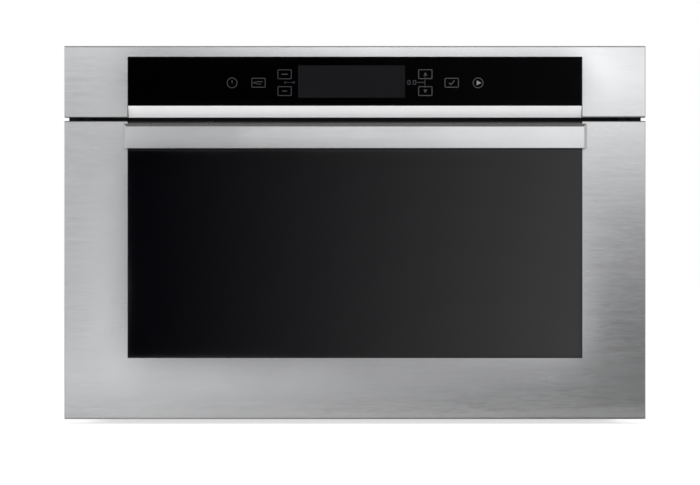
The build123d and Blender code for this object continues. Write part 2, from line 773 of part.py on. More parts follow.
# Magnetron yoke: two bent plates round the anode, screwed against the waveguide
yoke_length = 62.0
yoke_width = 96.0
yoke_height = 80.0
yoke_sheet = 2.0
anode_radius = 21.0
yoke_play = 0.3
with BuildPart() as magnetron_yoke:
    with BuildSketch(facing(turntable_y + yoke_width / 2)):
        span(guide_front_x - yoke_length, guide_front_x,
             magnetron_z - yoke_height / 2, magnetron_z + yoke_height / 2)
        offset(amount=-yoke_sheet, mode=Mode.SUBTRACT)
    extrude(amount=yoke_width)
    with BuildSketch(Plane.YZ.offset(guide_front_x - yoke_length)):
        with Locations((turntable_y, magnetron_z)):
            Circle(antenna_hole_radius)
    extrude(amount=yoke_length, mode=Mode.SUBTRACT)
magnetron_yoke.part.label = "magnetron_yoke"
export_step(magnetron_yoke.part, "parts/magnetron_yoke.step")

# Magnetron core: anode, ring magnets, cooling fins and the antenna that enters the waveguide
fin_count = 5
fin_sheet = 0.8
fin_length = yoke_height - 2 * yoke_sheet - 2 * yoke_play
fin_inset = 4.0
fin_width = yoke_width - 2 * fin_inset
terminal_stub = 4.0
magnet_radius = 27.0
magnet_thickness = 11.0
antenna_radius = 7.5
antenna_reach = 24.0
core_low_x = guide_front_x - yoke_length + yoke_sheet + yoke_play
core_high_x = guide_front_x - yoke_sheet - yoke_play
with BuildPart() as magnetron_core:
    with BuildSketch(Plane.YZ.offset(core_low_x)):
        with Locations((turntable_y, magnetron_z)):
            Circle(anode_radius)
    extrude(amount=core_high_x - core_low_x)
    for magnet_x in (core_low_x, core_high_x - magnet_thickness):
        with BuildSketch(Plane.YZ.offset(magnet_x)):
            with Locations((turntable_y, magnetron_z)):
                Circle(magnet_radius)
        extrude(amount=magnet_thickness)
    fin_space = core_high_x - core_low_x - 2 * magnet_thickness
    for fin in range(fin_count):
        fin_x = core_low_x + magnet_thickness + (fin + 0.5) * fin_space / fin_count
        with BuildSketch(Plane.YZ.offset(fin_x - fin_sheet / 2)):
            with Locations((turntable_y, magnetron_z)):
                Rectangle(fin_width, fin_length)
        extrude(amount=fin_sheet)
    with BuildSketch(Plane.YZ.offset(core_high_x)):
        with Locations((turntable_y, magnetron_z)):
            Circle(antenna_radius)
    extrude(amount=antenna_reach)
    with BuildSketch(Plane.YZ.offset(core_low_x)):
        with Locations((turntable_y, magnetron_z)):
            Circle(antenna_radius)
    extrude(amount=-yoke_sheet - yoke_play - terminal_stub)
    fillet(magnetron_core.faces().sort_by(Axis.X)[-1].edges(), antenna_radius / 2)
magnetron_core.part.label = "magnetron_core"
export_step(magnetron_core.part, "parts/magnetron_core.step")

# Magnetron filter box: drawn can over the tube's terminals with the plug on its side
filter_length = 34.0
filter_width = 66.0
filter_sheet = 1.0
filter_plug_width = 18.0
filter_plug_reach = 10.0
filter_back_x = guide_front_x - yoke_length
with BuildPart() as magnetron_filter_box:
    with BuildSketch(Plane.YZ.offset(filter_back_x - filter_length)):
        with Locations((turntable_y, magnetron_z)):
            Rectangle(filter_width, filter_width)
    extrude(amount=filter_length)
    fillet(magnetron_filter_box.edges().filter_by(Axis.X), 4 * fold_radius)
    fillet(magnetron_filter_box.faces().sort_by(Axis.X)[0].edges(), 2 * fold_radius)
    with BuildSketch(Plane.YZ.offset(filter_back_x - filter_length + filter_sheet)):
        with Locations((turntable_y, magnetron_z)):
            Rectangle(filter_width - 2 * filter_sheet, filter_width - 2 * filter_sheet)
        fillet(vertices(), 4 * fold_radius - filter_sheet)
    extrude(amount=filter_length - filter_sheet, mode=Mode.SUBTRACT)
    with BuildSketch(facing(turntable_y - filter_width / 2)):
        with Locations((filter_back_x - filter_length / 2, magnetron_z)):
            Rectangle(filter_plug_width, filter_plug_width)
    extrude(amount=filter_plug_reach)
magnetron_filter_box.part.label = "magnetron_filter_box"
export_step(magnetron_filter_box.part, "parts/magnetron_filter_box.step")

# Transformer core: welded stack of iron sheets with two windows for the coils, on a base with feet
core_width = 96.0
core_height = 80.0
core_stack = 52.0
core_limb = 16.0
core_foot = 2.0
core_foot_lap = 12.0
transformer_inset = 108.0
transformer_setback = 30.0
transformer_x = -inner_half + transformer_inset
transformer_y = turntable_y + transformer_setback
core_low_z = shelf_top_z + core_foot
window_width = (core_width - 4 * core_limb) / 2
with BuildPart() as transformer_core:
    with BuildSketch(facing(transformer_y + core_stack / 2)):
        with Locations((transformer_x, core_low_z + core_height / 2)):
            Rectangle(core_width, core_height)
            with GridLocations(core_width - 2 * core_limb - window_width, 0, 2, 1):
                Rectangle(window_width, core_height - 2 * core_limb, mode=Mode.SUBTRACT)
    extrude(amount=core_stack)
    with BuildSketch(level(shelf_top_z)):
        with Locations((transformer_x, transformer_y)):
            Rectangle(core_width, core_stack + 2 * core_foot_lap)
            with GridLocations(core_width - core_limb, core_stack + core_foot_lap, 2, 2):
                Circle(screw_hole_radius, mode=Mode.SUBTRACT)
    extrude(amount=core_foot)
transformer_core.part.label = "transformer_core"
export_step(transformer_core.part, "parts/transformer_core.step")

# Transformer windings: primary and secondary coils stacked round the middle limb
coil_play = 0.4
coil_overhang = 14.0
coil_gap = 3.0
coil_space = core_height - 2 * core_limb - 2 * coil_play
primary_share = 0.45
coil_heights = [coil_space * primary_share - coil_gap / 2, coil_space * (1 - primary_share) - coil_gap / 2]
coil_inner_width = 2 * core_limb + 2 * coil_play
coil_outer_width = 2 * core_limb + 2 * window_width - 2 * coil_play
with BuildPart() as transformer_windings:
    coil_low_z = core_low_z + core_limb + coil_play
    for coil_height in coil_heights:
        with BuildSketch(level(coil_low_z)):
            with Locations((transformer_x, transformer_y)):
                RectangleRounded(coil_outer_width, core_stack + 2 * coil_overhang, window_width / 2)
                Rectangle(coil_inner_width, core_stack + 2 * coil_play, mode=Mode.SUBTRACT)
        extrude(amount=coil_height)
        coil_low_z += coil_height + coil_gap
transformer_windings.part.label = "transformer_windings"
export_step(transformer_windings.part, "parts/transformer_windings.step")

# Capacitor: oval can lying on the shelf with two terminals at its front
can_width = 52.0
can_height = 34.0
can_length = 90.0
can_x = -50.0
can_advance = 20.0
can_front_y = turntable_y - can_advance
can_lift = 1.5
can_z = shelf_top_z + can_lift + can_height / 2
terminal_reach = 8.0
terminal_sheet = 1.9
terminal_width = 7.2
with BuildPart() as hv_capacitor:
    with BuildSketch(facing(can_front_y + can_length)):
        with Locations((can_x, can_z)):
            SlotOverall(can_width, can_height)
    extrude(amount=can_length)
    fillet(hv_capacitor.faces().sort_by(Axis.Y)[-1].edges(), fold_radius)
    with BuildSketch(facing(can_front_y)):
        with Locations((can_x, can_z)):
            with GridLocations(can_width - can_height, 0, 2, 1):
                Rectangle(terminal_sheet, terminal_width)
    extrude(amount=terminal_reach)
hv_capacitor.part.label = "hv_capacitor"
export_step(hv_capacitor.part, "parts/hv_capacitor.step")

# Capacitor clamp: strap over the can with a foot on each side
clamp_width = 16.0
clamp_play = 0.3
clamp_foot = 12.0
clamp_y = can_front_y + can_length / 2
clamp_outer = can_height / 2 + clamp_play + base_sheet
with BuildPart() as capacitor_clamp:
    with BuildSketch(facing(clamp_y + clamp_width / 2)):
        with Locations((can_x, can_z)):
            SlotOverall(can_width + 2 * clamp_outer - can_height, 2 * clamp_outer)
        span(can_x - can_width / 2 - clamp_foot, can_x + can_width / 2 + clamp_foot,
             shelf_top_z, shelf_top_z + base_sheet)
        with Locations((can_x, can_z)):
            SlotOverall(can_width + 2 * clamp_play, can_height + 2 * clamp_play, mode=Mode.SUBTRACT)
        span(can_x - can_width / 2, can_x + can_width / 2, shelf_top_z - can_lift,
             shelf_top_z, mode=Mode.SUBTRACT)
    extrude(amount=clamp_width)
capacitor_clamp.part.label = "capacitor_clamp"
export_step(capacitor_clamp.part, "parts/capacitor_clamp.step")

# Diode: small moulded cylinder with an eyelet screwed to the shelf
diode_radius = 3.0
diode_length = 20.0
diode_x = 20.0
diode_lift = 0.03
diode_z = shelf_top_z + diode_radius + diode_lift
eyelet_thickness = 0.8
with BuildPart() as hv_diode:
    with BuildSketch(facing(clamp_y)):
        with Locations((diode_x, diode_z)):
            Circle(diode_radius)
    extrude(amount=diode_length)
    with BuildSketch(level(shelf_top_z + eyelet_thickness)):
        with Locations((diode_x, clamp_y + 2 * screw_head_radius)):
            Circle(screw_head_radius)
        span(diode_x - screw_radius, diode_x + screw_radius, clamp_y - diode_radius,
             clamp_y + 2 * screw_head_radius)
        with Locations((diode_x, clamp_y + 2 * screw_head_radius)):
            Circle(screw_radius, mode=Mode.SUBTRACT)
    extrude(amount=eyelet_thickness)
hv_diode.part.label = "hv_diode"
export_step(hv_diode.part, "parts/hv_diode.step")

# Fan housing: square frame with a round throat and a three-armed spider for the motor
fan_frame_depth = 26.0
fan_wall = 4.0
fan_tip_play = 3.0
fan_throat_radius = fan_frame_size / 2 - fan_wall
fan_blade_radius = fan_throat_radius - fan_tip_play
fan_front_y = panel_front_y - fan_frame_depth
spider_thickness = 3.0
spider_hub_radius = 17.0
spider_arm_width = 7.0
spider_arm_lap = 6.0
fan_shaft_radius = 2.5
with BuildPart() as fan_housing:
    with BuildSketch(facing(panel_front_y)):
        with Locations((fan_x, fan_z)):
            RectangleRounded(fan_frame_size, fan_frame_size, 3 * fold_radius)
            Circle(fan_throat_radius, mode=Mode.SUBTRACT)
    extrude(amount=fan_frame_depth)
    with BuildSketch(facing(fan_front_y + spider_thickness)):
        with Locations((fan_x, fan_z)):
            Circle(spider_hub_radius)
            with PolarLocations((spider_hub_radius + fan_throat_radius) / 2, 3, start_angle=90):
                Rectangle(fan_throat_radius - spider_hub_radius + spider_arm_lap, spider_arm_width)
            Circle(fan_shaft_radius + clamp_play, mode=Mode.SUBTRACT)
    extrude(amount=spider_thickness)
fan_housing.part.label = "fan_housing"
export_step(fan_housing.part, "parts/fan_housing.step")

# Fan motor: shaded-pole motor with its iron stack, coil, bearing cap and shaft
stack_width = 46.0
stack_height = 60.0
stack_depth = 16.0
fan_coil_width = 34.0
fan_coil_height = 20.0
fan_coil_depth = 25.0
fan_coil_lap = 3.0
bearing_radius = 12.0
bearing_height = 6.0
fan_hub_depth = 17.0
fan_hub_gap = 2.0
fan_hub_front_y = fan_front_y + spider_thickness + fan_hub_gap
fan_shaft_cover = 4.0
fan_shaft_end_y = fan_hub_front_y + fan_hub_depth - fan_shaft_cover
stack_back_y = fan_front_y - bearing_height
with BuildPart() as fan_motor:
    with BuildSketch(facing(stack_back_y)):
        with Locations((fan_x, fan_z - (stack_height - stack_width) / 2)):
            RectangleRounded(stack_width, stack_height, 3 * fold_radius)
    extrude(amount=stack_depth)
    with BuildSketch(facing(stack_back_y + fan_coil_lap)):
        with Locations((fan_x, fan_z - stack_height / 2 - fan_coil_height / 4)):
            RectangleRounded(fan_coil_width, fan_coil_height, 3 * fold_radius)
    extrude(amount=fan_coil_depth)
    with BuildSketch(facing(fan_front_y)):
        with Locations((fan_x, fan_z)):
            Circle(bearing_radius)
    extrude(amount=stack_depth + 2 * bearing_height)
    with BuildSketch(facing(fan_shaft_end_y)):
        with Locations((fan_x, fan_z)):
            Circle(fan_shaft_radius)
    extrude(amount=fan_shaft_end_y - fan_front_y)
fan_motor.part.label = "fan_motor"
export_step(fan_motor.part, "parts/fan_motor.step")

# Fan impeller: bored hub with six twisted blades
blade_count = 6
blade_chord = 20.0
blade_thickness = 1.6
blade_root_share = 0.7
blade_root_lap = 3.0
blade_root_pitch = 50.0
blade_tip_pitch = 28.0
fan_hub_radius = 14.0
blade_mid_y = fan_hub_front_y + fan_hub_depth / 2
with BuildPart() as fan_impeller:
    with BuildSketch(facing(fan_hub_front_y + fan_hub_depth)):
        with Locations((fan_x, fan_z)):
            Circle(fan_hub_radius)
    extrude(amount=fan_hub_depth)
    for blade in range(blade_count):
        turn = radians(360.0 * blade / blade_count)
        outward = Vector(cos(turn), 0, sin(turn))
        for_root = Vector(fan_x, blade_mid_y, fan_z) + outward * (fan_hub_radius - blade_root_lap)
        for_tip = Vector(fan_x, blade_mid_y, fan_z) + outward * fan_blade_radius
        with BuildSketch(Plane(for_root, x_dir=(0, 1, 0), z_dir=outward)):
            Rectangle(blade_chord * blade_root_share, blade_thickness, rotation=blade_root_pitch)
        with BuildSketch(Plane(for_tip, x_dir=(0, 1, 0), z_dir=outward)):
            Rectangle(blade_chord, blade_thickness, rotation=blade_tip_pitch)
        loft()
    with BuildSketch(facing(fan_shaft_end_y + clamp_play)):
        with Locations((fan_x, fan_z)):
            Circle(fan_shaft_radius + running_play)
    extrude(amount=fan_shaft_end_y + clamp_play - fan_hub_front_y, mode=Mode.SUBTRACT)
fan_impeller.part.label = "fan_impeller"
export_step(fan_impeller.part, "parts/fan_impeller.step")

# Air duct: tapered sleeve that leads the fan's air to the magnetron's fins
duct_wall = 1.6
duct_small_width = yoke_length
duct_small_height = yoke_height
duct_small_x = guide_front_x - yoke_length / 2
duct_front_y = turntable_y + yoke_width / 2
with BuildPart() as air_duct:
    with BuildSketch(facing(fan_front_y)):
        with Locations((fan_x, fan_z)):
            Rectangle(fan_frame_size, fan_frame_size)
    with BuildSketch(facing(duct_front_y)):
        with Locations((duct_small_x, magnetron_z)):
            Rectangle(duct_small_width, duct_small_height)
    loft()
    with BuildSketch(facing(fan_front_y)):
        with Locations((fan_x, fan_z)):
            Rectangle(fan_frame_size - 2 * duct_wall, fan_frame_size - 2 * duct_wall)
    with BuildSketch(facing(duct_front_y)):
        with Locations((duct_small_x, magnetron_z)):
            Rectangle(duct_small_width - 2 * duct_wall, duct_small_height - 2 * duct_wall)
    loft(mode=Mode.SUBTRACT)
air_duct.part.label = "air_duct"
export_step(air_duct.part, "parts/air_duct.step")

# Lamp holder: shell on the outside of the right wall, open to the light holes
lamp_box = 36.0
lamp_box_depth = 34.0
lamp_wall = 1.6
lamp_socket_radius = 8.0
lamp_socket_depth = 6.0
with BuildPart() as lamp_holder:
    with BuildSketch(Plane.YZ.offset(guide_front_x)):
        with Locations((lamp_y, lamp_z)):
            RectangleRounded(lamp_box, lamp_box, 3 * fold_radius)
    extrude(amount=lamp_box_depth)
    with BuildSketch(Plane.YZ.offset(guide_front_x)):
        with Locations((lamp_y, lamp_z)):
            RectangleRounded(lamp_box - 2 * lamp_wall, lamp_box - 2 * lamp_wall, 2 * fold_radius)
    extrude(amount=lamp_box_depth - lamp_wall, mode=Mode.SUBTRACT)
    with BuildSketch(Plane.YZ.offset(guide_front_x + lamp_box_depth - lamp_wall)):
        with Locations((lamp_y, lamp_z)):
            Circle(lamp_socket_radius)
    extrude(amount=-lamp_socket_depth)
lamp_holder.part.label = "lamp_holder"
export_step(lamp_holder.part, "parts/lamp_holder.step")

# Lamp bulb: glass bulb on its cap, standing in the holder's socket
bulb_radius = 7.0
bulb_cap_radius = 4.5
bulb_cap_length = 5.0
bulb_neck_length = 4.0
bulb_side_length = 4.0
bulb_base_x = guide_front_x + lamp_box_depth - lamp_wall - lamp_socket_depth
with BuildPart() as lamp_bulb:
    with BuildSketch(Plane((0, lamp_y, lamp_z), x_dir=(1, 0, 0), z_dir=(0, 0, 1))):
        with BuildLine():
            bulb_end_x = bulb_base_x - bulb_cap_length - bulb_neck_length - bulb_side_length
            cap_line = Polyline(
                (bulb_base_x, 0),
                (bulb_base_x, bulb_cap_radius),
                (bulb_base_x - bulb_cap_length, bulb_cap_radius),
                (bulb_base_x - bulb_cap_length - bulb_neck_length, bulb_radius),
                (bulb_end_x, bulb_radius),
            )
            bulb_line = CenterArc((bulb_end_x, 0), bulb_radius, 90, 90)
            Line(bulb_line @ 1, cap_line @ 0)
        make_face()
    revolve(axis=Axis((0, lamp_y, lamp_z), (1, 0, 0)))
lamp_bulb.part.label = "lamp_bulb"
export_step(lamp_bulb.part, "parts/lamp_bulb.step")

# Turntable motor: flat geared motor under the floor with two ears and its shaft
motor_ear_reach = 33.0
motor_ear_width = 12.0
motor_ear_thickness = 2.0
motor_top_z = cavity_low_z - cavity_sheet
motor_shaft_reach = 8.0
motor_shaft_top_z = cavity_low_z + motor_shaft_reach
motor_plane = Plane((0, turntable_y, motor_top_z))
with BuildPart() as turntable_motor:
    with BuildSketch(motor_plane.offset(-motor_height)):
        Circle(motor_radius)
    extrude(amount=motor_height)
    with BuildSketch(motor_plane.offset(-motor_ear_thickness)):
        SlotOverall(2 * motor_ear_reach + motor_ear_width, motor_ear_width)
        with GridLocations(2 * motor_ear_reach, 0, 2, 1):
            Circle(screw_hole_radius, mode=Mode.SUBTRACT)
    extrude(amount=motor_ear_thickness)
    with BuildSketch(motor_plane):
        Circle(motor_shaft_radius)
    extrude(amount=motor_shaft_top_z - motor_top_z)
turntable_motor.part.label = "turntable_motor"
export_step(turntable_motor.part, "parts/turntable_motor.step")

# Heights of the turning parts above the cavity floor
roller_mid_z = cavity_low_z + roller_play + roller_radius
plate_low_z = roller_mid_z + roller_radius + roller_play
arm_top_z = plate_low_z + plate_hub_rise - roller_play
drive_turns = [90.0, 210.0, 330.0]

# Drive coupler: bored sleeve on the motor shaft with three arms under the plate
coupler_low_z = cavity_low_z + roller_play
with BuildPart() as drive_coupler:
    with BuildSketch(Plane((0, turntable_y, coupler_low_z))):
        Circle(coupler_shaft_radius)
    extrude(amount=arm_top_z - coupler_low_z)
    with BuildSketch(Plane((0, turntable_y, arm_top_z - coupler_arm_height))):
        for turn in drive_turns:
            with Locations(Location((0, 0, 0), (0, 0, turn))):
                with Locations((coupler_arm_length / 2, 0)):
                    SlotOverall(coupler_arm_length, coupler_arm_width)
        Circle(coupler_arm_width)
    extrude(amount=coupler_arm_height)
    with BuildSketch(Plane((0, turntable_y, coupler_low_z))):
        Circle(motor_shaft_radius + running_play)
    extrude(amount=motor_shaft_top_z + roller_play - coupler_low_z, mode=Mode.SUBTRACT)
drive_coupler.part.label = "drive_coupler"
export_step(drive_coupler.part, "parts/drive_coupler.step")

# Glass turntable: dished plate with a raised hub and three lugs that stand between the coupler's arms
lug_radius = 2.5
lug_circle = 10.5
lug_height = plate_hub_rise - roller_play
lug_offset = 60.0
plate_flat = plate_radius - plate_rim_width
with BuildPart() as glass_turntable:
    with BuildSketch(Plane((0, turntable_y, plate_low_z), x_dir=(1, 0, 0), z_dir=(0, -1, 0))):
        with BuildLine():
            Polyline(
                (0, plate_hub_rise),
                (plate_hub_radius, plate_hub_rise),
                (plate_hub_radius + plate_hub_rise, 0),
                (plate_flat, 0),
                (plate_radius, plate_rim_height - plate_thickness),
                (plate_radius, plate_rim_height),
                (plate_radius - plate_thickness, plate_rim_height),
                (plate_flat - plate_thickness / 2, plate_thickness),
                (plate_hub_radius + plate_hub_rise, plate_thickness),
                (plate_hub_radius, plate_thickness + plate_hub_rise),
                (0, plate_thickness + plate_hub_rise),
                close=True,
            )
        make_face()
    revolve(axis=Axis((0, turntable_y, 0), (0, 0, 1)))
    with BuildSketch(Plane((0, turntable_y, plate_low_z + plate_hub_rise))):
        with PolarLocations(lug_circle, 3, start_angle=drive_turns[0] + lug_offset):
            Circle(lug_radius)
    extrude(amount=-lug_height)
glass_turntable.part.label = "glass_turntable"
export_step(glass_turntable.part, "parts/glass_turntable.step")

# Roller ring: hoop with three axles that end in a collar
axle_side_play = 0.5
axle_collar_radius = 2.6
axle_collar_width = 1.4
ring_outer = roller_track_radius - roller_width / 2 - axle_side_play
collar_start = roller_track_radius + roller_width / 2 + axle_side_play
ring_centre = Vector(0, turntable_y, roller_mid_z)


def radial_plane(turn, distance):
    """Plane square to the radius at a turn in degrees and a distance from the drive's axis."""
    outward = Vector(cos(radians(turn)), sin(radians(turn)), 0)
    return Plane(ring_centre + outward * distance, x_dir=(0, 0, 1), z_dir=outward)


with BuildPart() as roller_ring:
    with BuildSketch(level(roller_mid_z - ring_height / 2)):
        with Locations((0, turntable_y)):
            Circle(ring_outer)
            Circle(ring_outer - ring_width, mode=Mode.SUBTRACT)
    extrude(amount=ring_height)
    for turn in drive_turns:
        with BuildSketch(radial_plane(turn, ring_outer - ring_width / 2)):
            Circle(roller_axle_radius)
        extrude(amount=collar_start - ring_outer + ring_width / 2)
        with BuildSketch(radial_plane(turn, collar_start)):
            Circle(axle_collar_radius)
        extrude(amount=axle_collar_width)
roller_ring.part.label = "roller_ring"
export_step(roller_ring.part, "parts/roller_ring.step")

# Rollers: three bored wheels, one on each axle
for number, turn in enumerate(drive_turns, start=1):
    with BuildPart() as roller:
        with BuildSketch(radial_plane(turn, roller_track_radius - roller_width / 2)):
            Circle(roller_radius)
            Circle(roller_axle_radius + running_play, mode=Mode.SUBTRACT)
        extrude(amount=roller_width)
    roller.part.label = f"roller_{number}"
    export_step(roller.part, f"parts/roller_{number}.step")

# Noise filter board: small circuit board on four posts beside the mains entry, with coil and capacitors
filter_board_length = 64.0
filter_board_width = 46.0
filter_board_inset_x = 43.0
filter_board_inset_y = 60.0
filter_board_x = -inner_half + filter_board_inset_x
filter_board_y = panel_front_y - filter_board_inset_y
filter_post_inset = 4.0
filter_post_height = 6.0
filter_post_radius = 3.0
choke_radius = 11.0
choke_core_radius = 5.0
filter_part_height = 14.0
with BuildPart() as noise_filter_board:
    with BuildSketch(Plane((filter_board_x, filter_board_y, shelf_top_z + filter_post_height))):
        Rectangle(filter_board_width, filter_board_length)
    extrude(amount=board_thickness)
    with BuildSketch(Plane((filter_board_x, filter_board_y, shelf_top_z))):
        with GridLocations(filter_board_width - 2 * filter_post_inset,
                           filter_board_length - 2 * filter_post_inset, 2, 2):
            Circle(filter_post_radius)
    extrude(amount=filter_post_height)
    with BuildSketch(Plane((filter_board_x, filter_board_y,
                            shelf_top_z + filter_post_height + board_thickness))):
        with Locations((0, -filter_board_length / 4)):
            Circle(choke_radius)
            Circle(choke_core_radius, mode=Mode.SUBTRACT)
        with Locations((-filter_board_width / 4, filter_board_length / 4),
                       (filter_board_width / 4, filter_board_length / 4)):
            Rectangle(relay_depth, relay_width)
    extrude(amount=filter_part_height)
noise_filter_board.part.label = "noise_filter_board"
export_step(noise_filter_board.part, "parts/noise_filter_board.step")

# Interlock brackets: moulded plates behind the latch slots with an opening for the hook and a side wall
bracket_flange = 3.0
bracket_half_width = 14.0
bracket_drop = 20.0
bracket_rise = 32.0
bracket_low_z = latch_z - bracket_drop
bracket_high_z = latch_z + bracket_rise
bracket_play = 0.5
bracket_reach = 42.0
bracket_wall = 2.5
switch_length = 28.0
switch_height = 16.0
switch_width = 10.0
switch_clear = 6.5
switch_low_z = latch_z + hook_height / 2 + switch_clear
switch_outer_x = bracket_half_width - bracket_wall
with BuildPart() as interlock_brackets:
    for side in (-1, 1):
        hook_x = side * hook_spacing / 2
        with BuildSketch(facing(seal_back_y + bracket_flange)):
            span(hook_x - bracket_half_width, hook_x + bracket_half_width, bracket_low_z, bracket_high_z)
            with Locations((hook_x, latch_slot_z)):
                Rectangle(latch_slot_width + 2 * bracket_play, latch_slot_height + 2 * bracket_play,
                          mode=Mode.SUBTRACT)
        extrude(amount=bracket_flange)
        with BuildSketch(facing(seal_back_y + bracket_reach)):
            wall_x = hook_x + side * (bracket_half_width - bracket_wall / 2)
            span(wall_x - bracket_wall / 2, wall_x + bracket_wall / 2, bracket_low_z, bracket_high_z)
        extrude(amount=bracket_reach - bracket_flange)
interlock_brackets.part.label = "interlock_brackets"
export_step(interlock_brackets.part, "parts/interlock_brackets.step")

# Interlock switches: one on each bracket wall over the hook's tip, with a button below
switch_button_radius = 1.4
switch_button_length = 1.5
switch_back_gap = 4.0
with BuildPart() as interlock_switches:
    for side in (-1, 1):
        hook_x = side * hook_spacing / 2
        near_x = hook_x + side * switch_outer_x
        far_x = near_x - side * switch_width
        switch_back_y = seal_back_y + bracket_reach - switch_back_gap
        with BuildSketch(level(switch_low_z)):
            span(min(near_x, far_x), max(near_x, far_x), switch_back_y - switch_length, switch_back_y)
        extrude(amount=switch_height)
        with BuildSketch(level(switch_low_z)):
            with Locations(((near_x + far_x) / 2, switch_back_y - switch_length / 3)):
                Circle(switch_button_radius)
        extrude(amount=-switch_button_length)
interlock_switches.part.label = "interlock_switches"
export_step(interlock_switches.part, "parts/interlock_switches.step")

# Thermal cut-out: flanged disc on top of the magnetron
cutout_radius = 8.0
cutout_height = 7.0
cutout_flange = 26.0
with BuildPart() as thermal_cutout:
    cutout_plane = Plane((guide_front_x - yoke_length / 2, turntable_y, magnetron_z + yoke_height / 2))
    with BuildSketch(cutout_plane):
        SlotOverall(cutout_flange, cutout_radius)
    extrude(amount=eyelet_thickness)
    with BuildSketch(cutout_plane):
        Circle(cutout_radius)
    extrude(amount=cutout_height)
thermal_cutout.part.label = "thermal_cutout"
export_step(thermal_cutout.part, "parts/thermal_cutout.step")

# Hinge arms: steel eyes in front of the sealing plate that carry the door's pins
with BuildPart() as hinge_arms:
    for side in (-1, 1):
        with BuildSketch(Plane.YZ.offset(side * hinge_x - hinge_arm_thickness / 2)):
            with Locations((hinge_y, hinge_z)):
                Circle(hinge_eye_radius)
            span(hinge_y, seal_y, hinge_z - hinge_web_height / 2, hinge_z + hinge_web_height / 2)
            with Locations((hinge_y, hinge_z)):
                Circle(hinge_pin_radius + running_play, mode=Mode.SUBTRACT)
        extrude(amount=hinge_arm_thickness)
        with BuildSketch(facing(seal_y)):
            foot_edges = sorted((side * (hinge_x - hinge_foot_inboard), side * (hinge_x + hinge_foot_outboard)))
            span(*foot_edges, hinge_foot_low, hinge_foot_low + hinge_foot_height)
            with Locations((side * hinge_x, hinge_screw_z)):
                Circle(screw_hole_radius, mode=Mode.SUBTRACT)
        extrude(amount=hinge_foot_thickness)
hinge_arms.part.label = "hinge_arms"
export_step(hinge_arms.part, "parts/hinge_arms.step")

# Door frame: folded steel front with two pillars and a bottom band, open at the top for the glass
hinge_notch_half = hinge_arm_thickness / 2 + hinge_side_play + clevis_sheet + notch_play / 2
hinge_notch_high = hinge_z + hinge_eye_radius + notch_play
hinge_notch_front_y = hinge_y - hinge_eye_radius - notch_play
post_x = handle_length / 2 - post_inset
with BuildPart() as door_frame:
    with BuildSketch(facing(door_back_y)):
        span(-fascia_half, fascia_half, door_low_z, door_high_z)
    extrude(amount=door_back_y - fascia_y)
    fillet(door_frame.faces().sort_by(Axis.Y)[0].edges(), fold_radius)
    with BuildSketch(facing(door_back_y)):
        span(-fascia_half + fascia_sheet, fascia_half - fascia_sheet,
             door_low_z + fascia_sheet, door_high_z - fascia_sheet)
    extrude(amount=door_back_y - glass_front_y, mode=Mode.SUBTRACT)
    with BuildSketch(facing(door_back_y)):
        span(-glass_half, glass_half, door_glass_low_z, door_high_z + fascia_sheet)
    extrude(amount=fascia_depth, mode=Mode.SUBTRACT)
    with BuildSketch(level(door_low_z)):
        for side in (-1, 1):
            span(side * hinge_x - hinge_notch_half, side * hinge_x + hinge_notch_half,
                 hinge_notch_front_y, door_back_y)
    extrude(amount=2 * fascia_sheet, mode=Mode.SUBTRACT)
door_frame.part.label = "door_frame"
export_step(door_frame.part, "parts/door_frame.step")

# Door glass: black pane behind the steel, drilled for the handle's screws
door_glass_high_z = door_high_z - fascia_sheet
glass_hole_radius = 3.5
with BuildPart() as door_glass:
    with BuildSketch(facing(glass_back_y)):
        span(-glass_half - glass_lap, glass_half + glass_lap,
             door_glass_low_z - glass_lap, door_glass_high_z)
        with Locations((-post_x, handle_mid_z), (post_x, handle_mid_z)):
            Circle(glass_hole_radius, mode=Mode.SUBTRACT)
    extrude(amount=glass_thickness)
door_glass.part.label = "door_glass"
export_step(door_glass.part, "parts/door_glass.step")

# Inner frame: pressed tray behind the glass with the window, hinge notches and ears for the latch rod
inner_frame_half = fascia_half - fascia_sheet
inner_low_z = door_low_z + fascia_sheet
inner_high_z = door_high_z - fascia_sheet
window_half = cavity_half - window_margin
window_low_z = cavity_low_z + window_margin
window_high_z = cavity_high_z - window_margin
spring_notch_reach = hinge_notch_half + spring_space + notch_play
latch_ear_x = hook_spacing / 2 + latch_tab_offset
latch_ear_back_y = latch_rod_y + latch_tab_height / 2
with BuildPart() as inner_frame:
    with BuildSketch(facing(inner_back_y + inner_return)):
        span(-inner_frame_half, inner_frame_half, inner_low_z, inner_high_z)
    extrude(amount=inner_sheet + inner_return)
    with BuildSketch(facing(inner_back_y + inner_return)):
        span(-inner_frame_half + inner_sheet, inner_frame_half - inner_sheet,
             inner_low_z + inner_sheet, inner_high_z - inner_sheet)
    extrude(amount=inner_return, mode=Mode.SUBTRACT)
    with BuildSketch(facing(inner_back_y)):
        span(-window_half, window_half, window_low_z, window_high_z)
        with Locations((-post_x, handle_mid_z), (post_x, handle_mid_z)):
            Circle(screw_hole_radius)
        for side in (-1, 1):
            notch_edges = sorted((side * (hinge_x - spring_notch_reach), side * (hinge_x + hinge_notch_half)))
            span(*notch_edges, inner_low_z, hinge_notch_high)
    extrude(amount=inner_sheet, mode=Mode.SUBTRACT)
    with BuildSketch(level(inner_low_z)):
        for side in (-1, 1):
            span(side * hinge_x - hinge_notch_half, side * hinge_x + hinge_notch_half,
                 glass_back_y, inner_back_y + inner_return)
    extrude(amount=2 * inner_sheet, mode=Mode.SUBTRACT)
    for ear_x in (-latch_ear_x, latch_ear_x):
        with BuildSketch(Plane.YZ.offset(ear_x - inner_sheet / 2)):
            span(inner_back_y, latch_ear_back_y, latch_z - latch_tab_height / 2, latch_z + latch_tab_height / 2)
            with Locations((latch_rod_y, latch_z)):
                Circle(latch_rod_radius + running_play, mode=Mode.SUBTRACT)
        extrude(amount=inner_sheet)
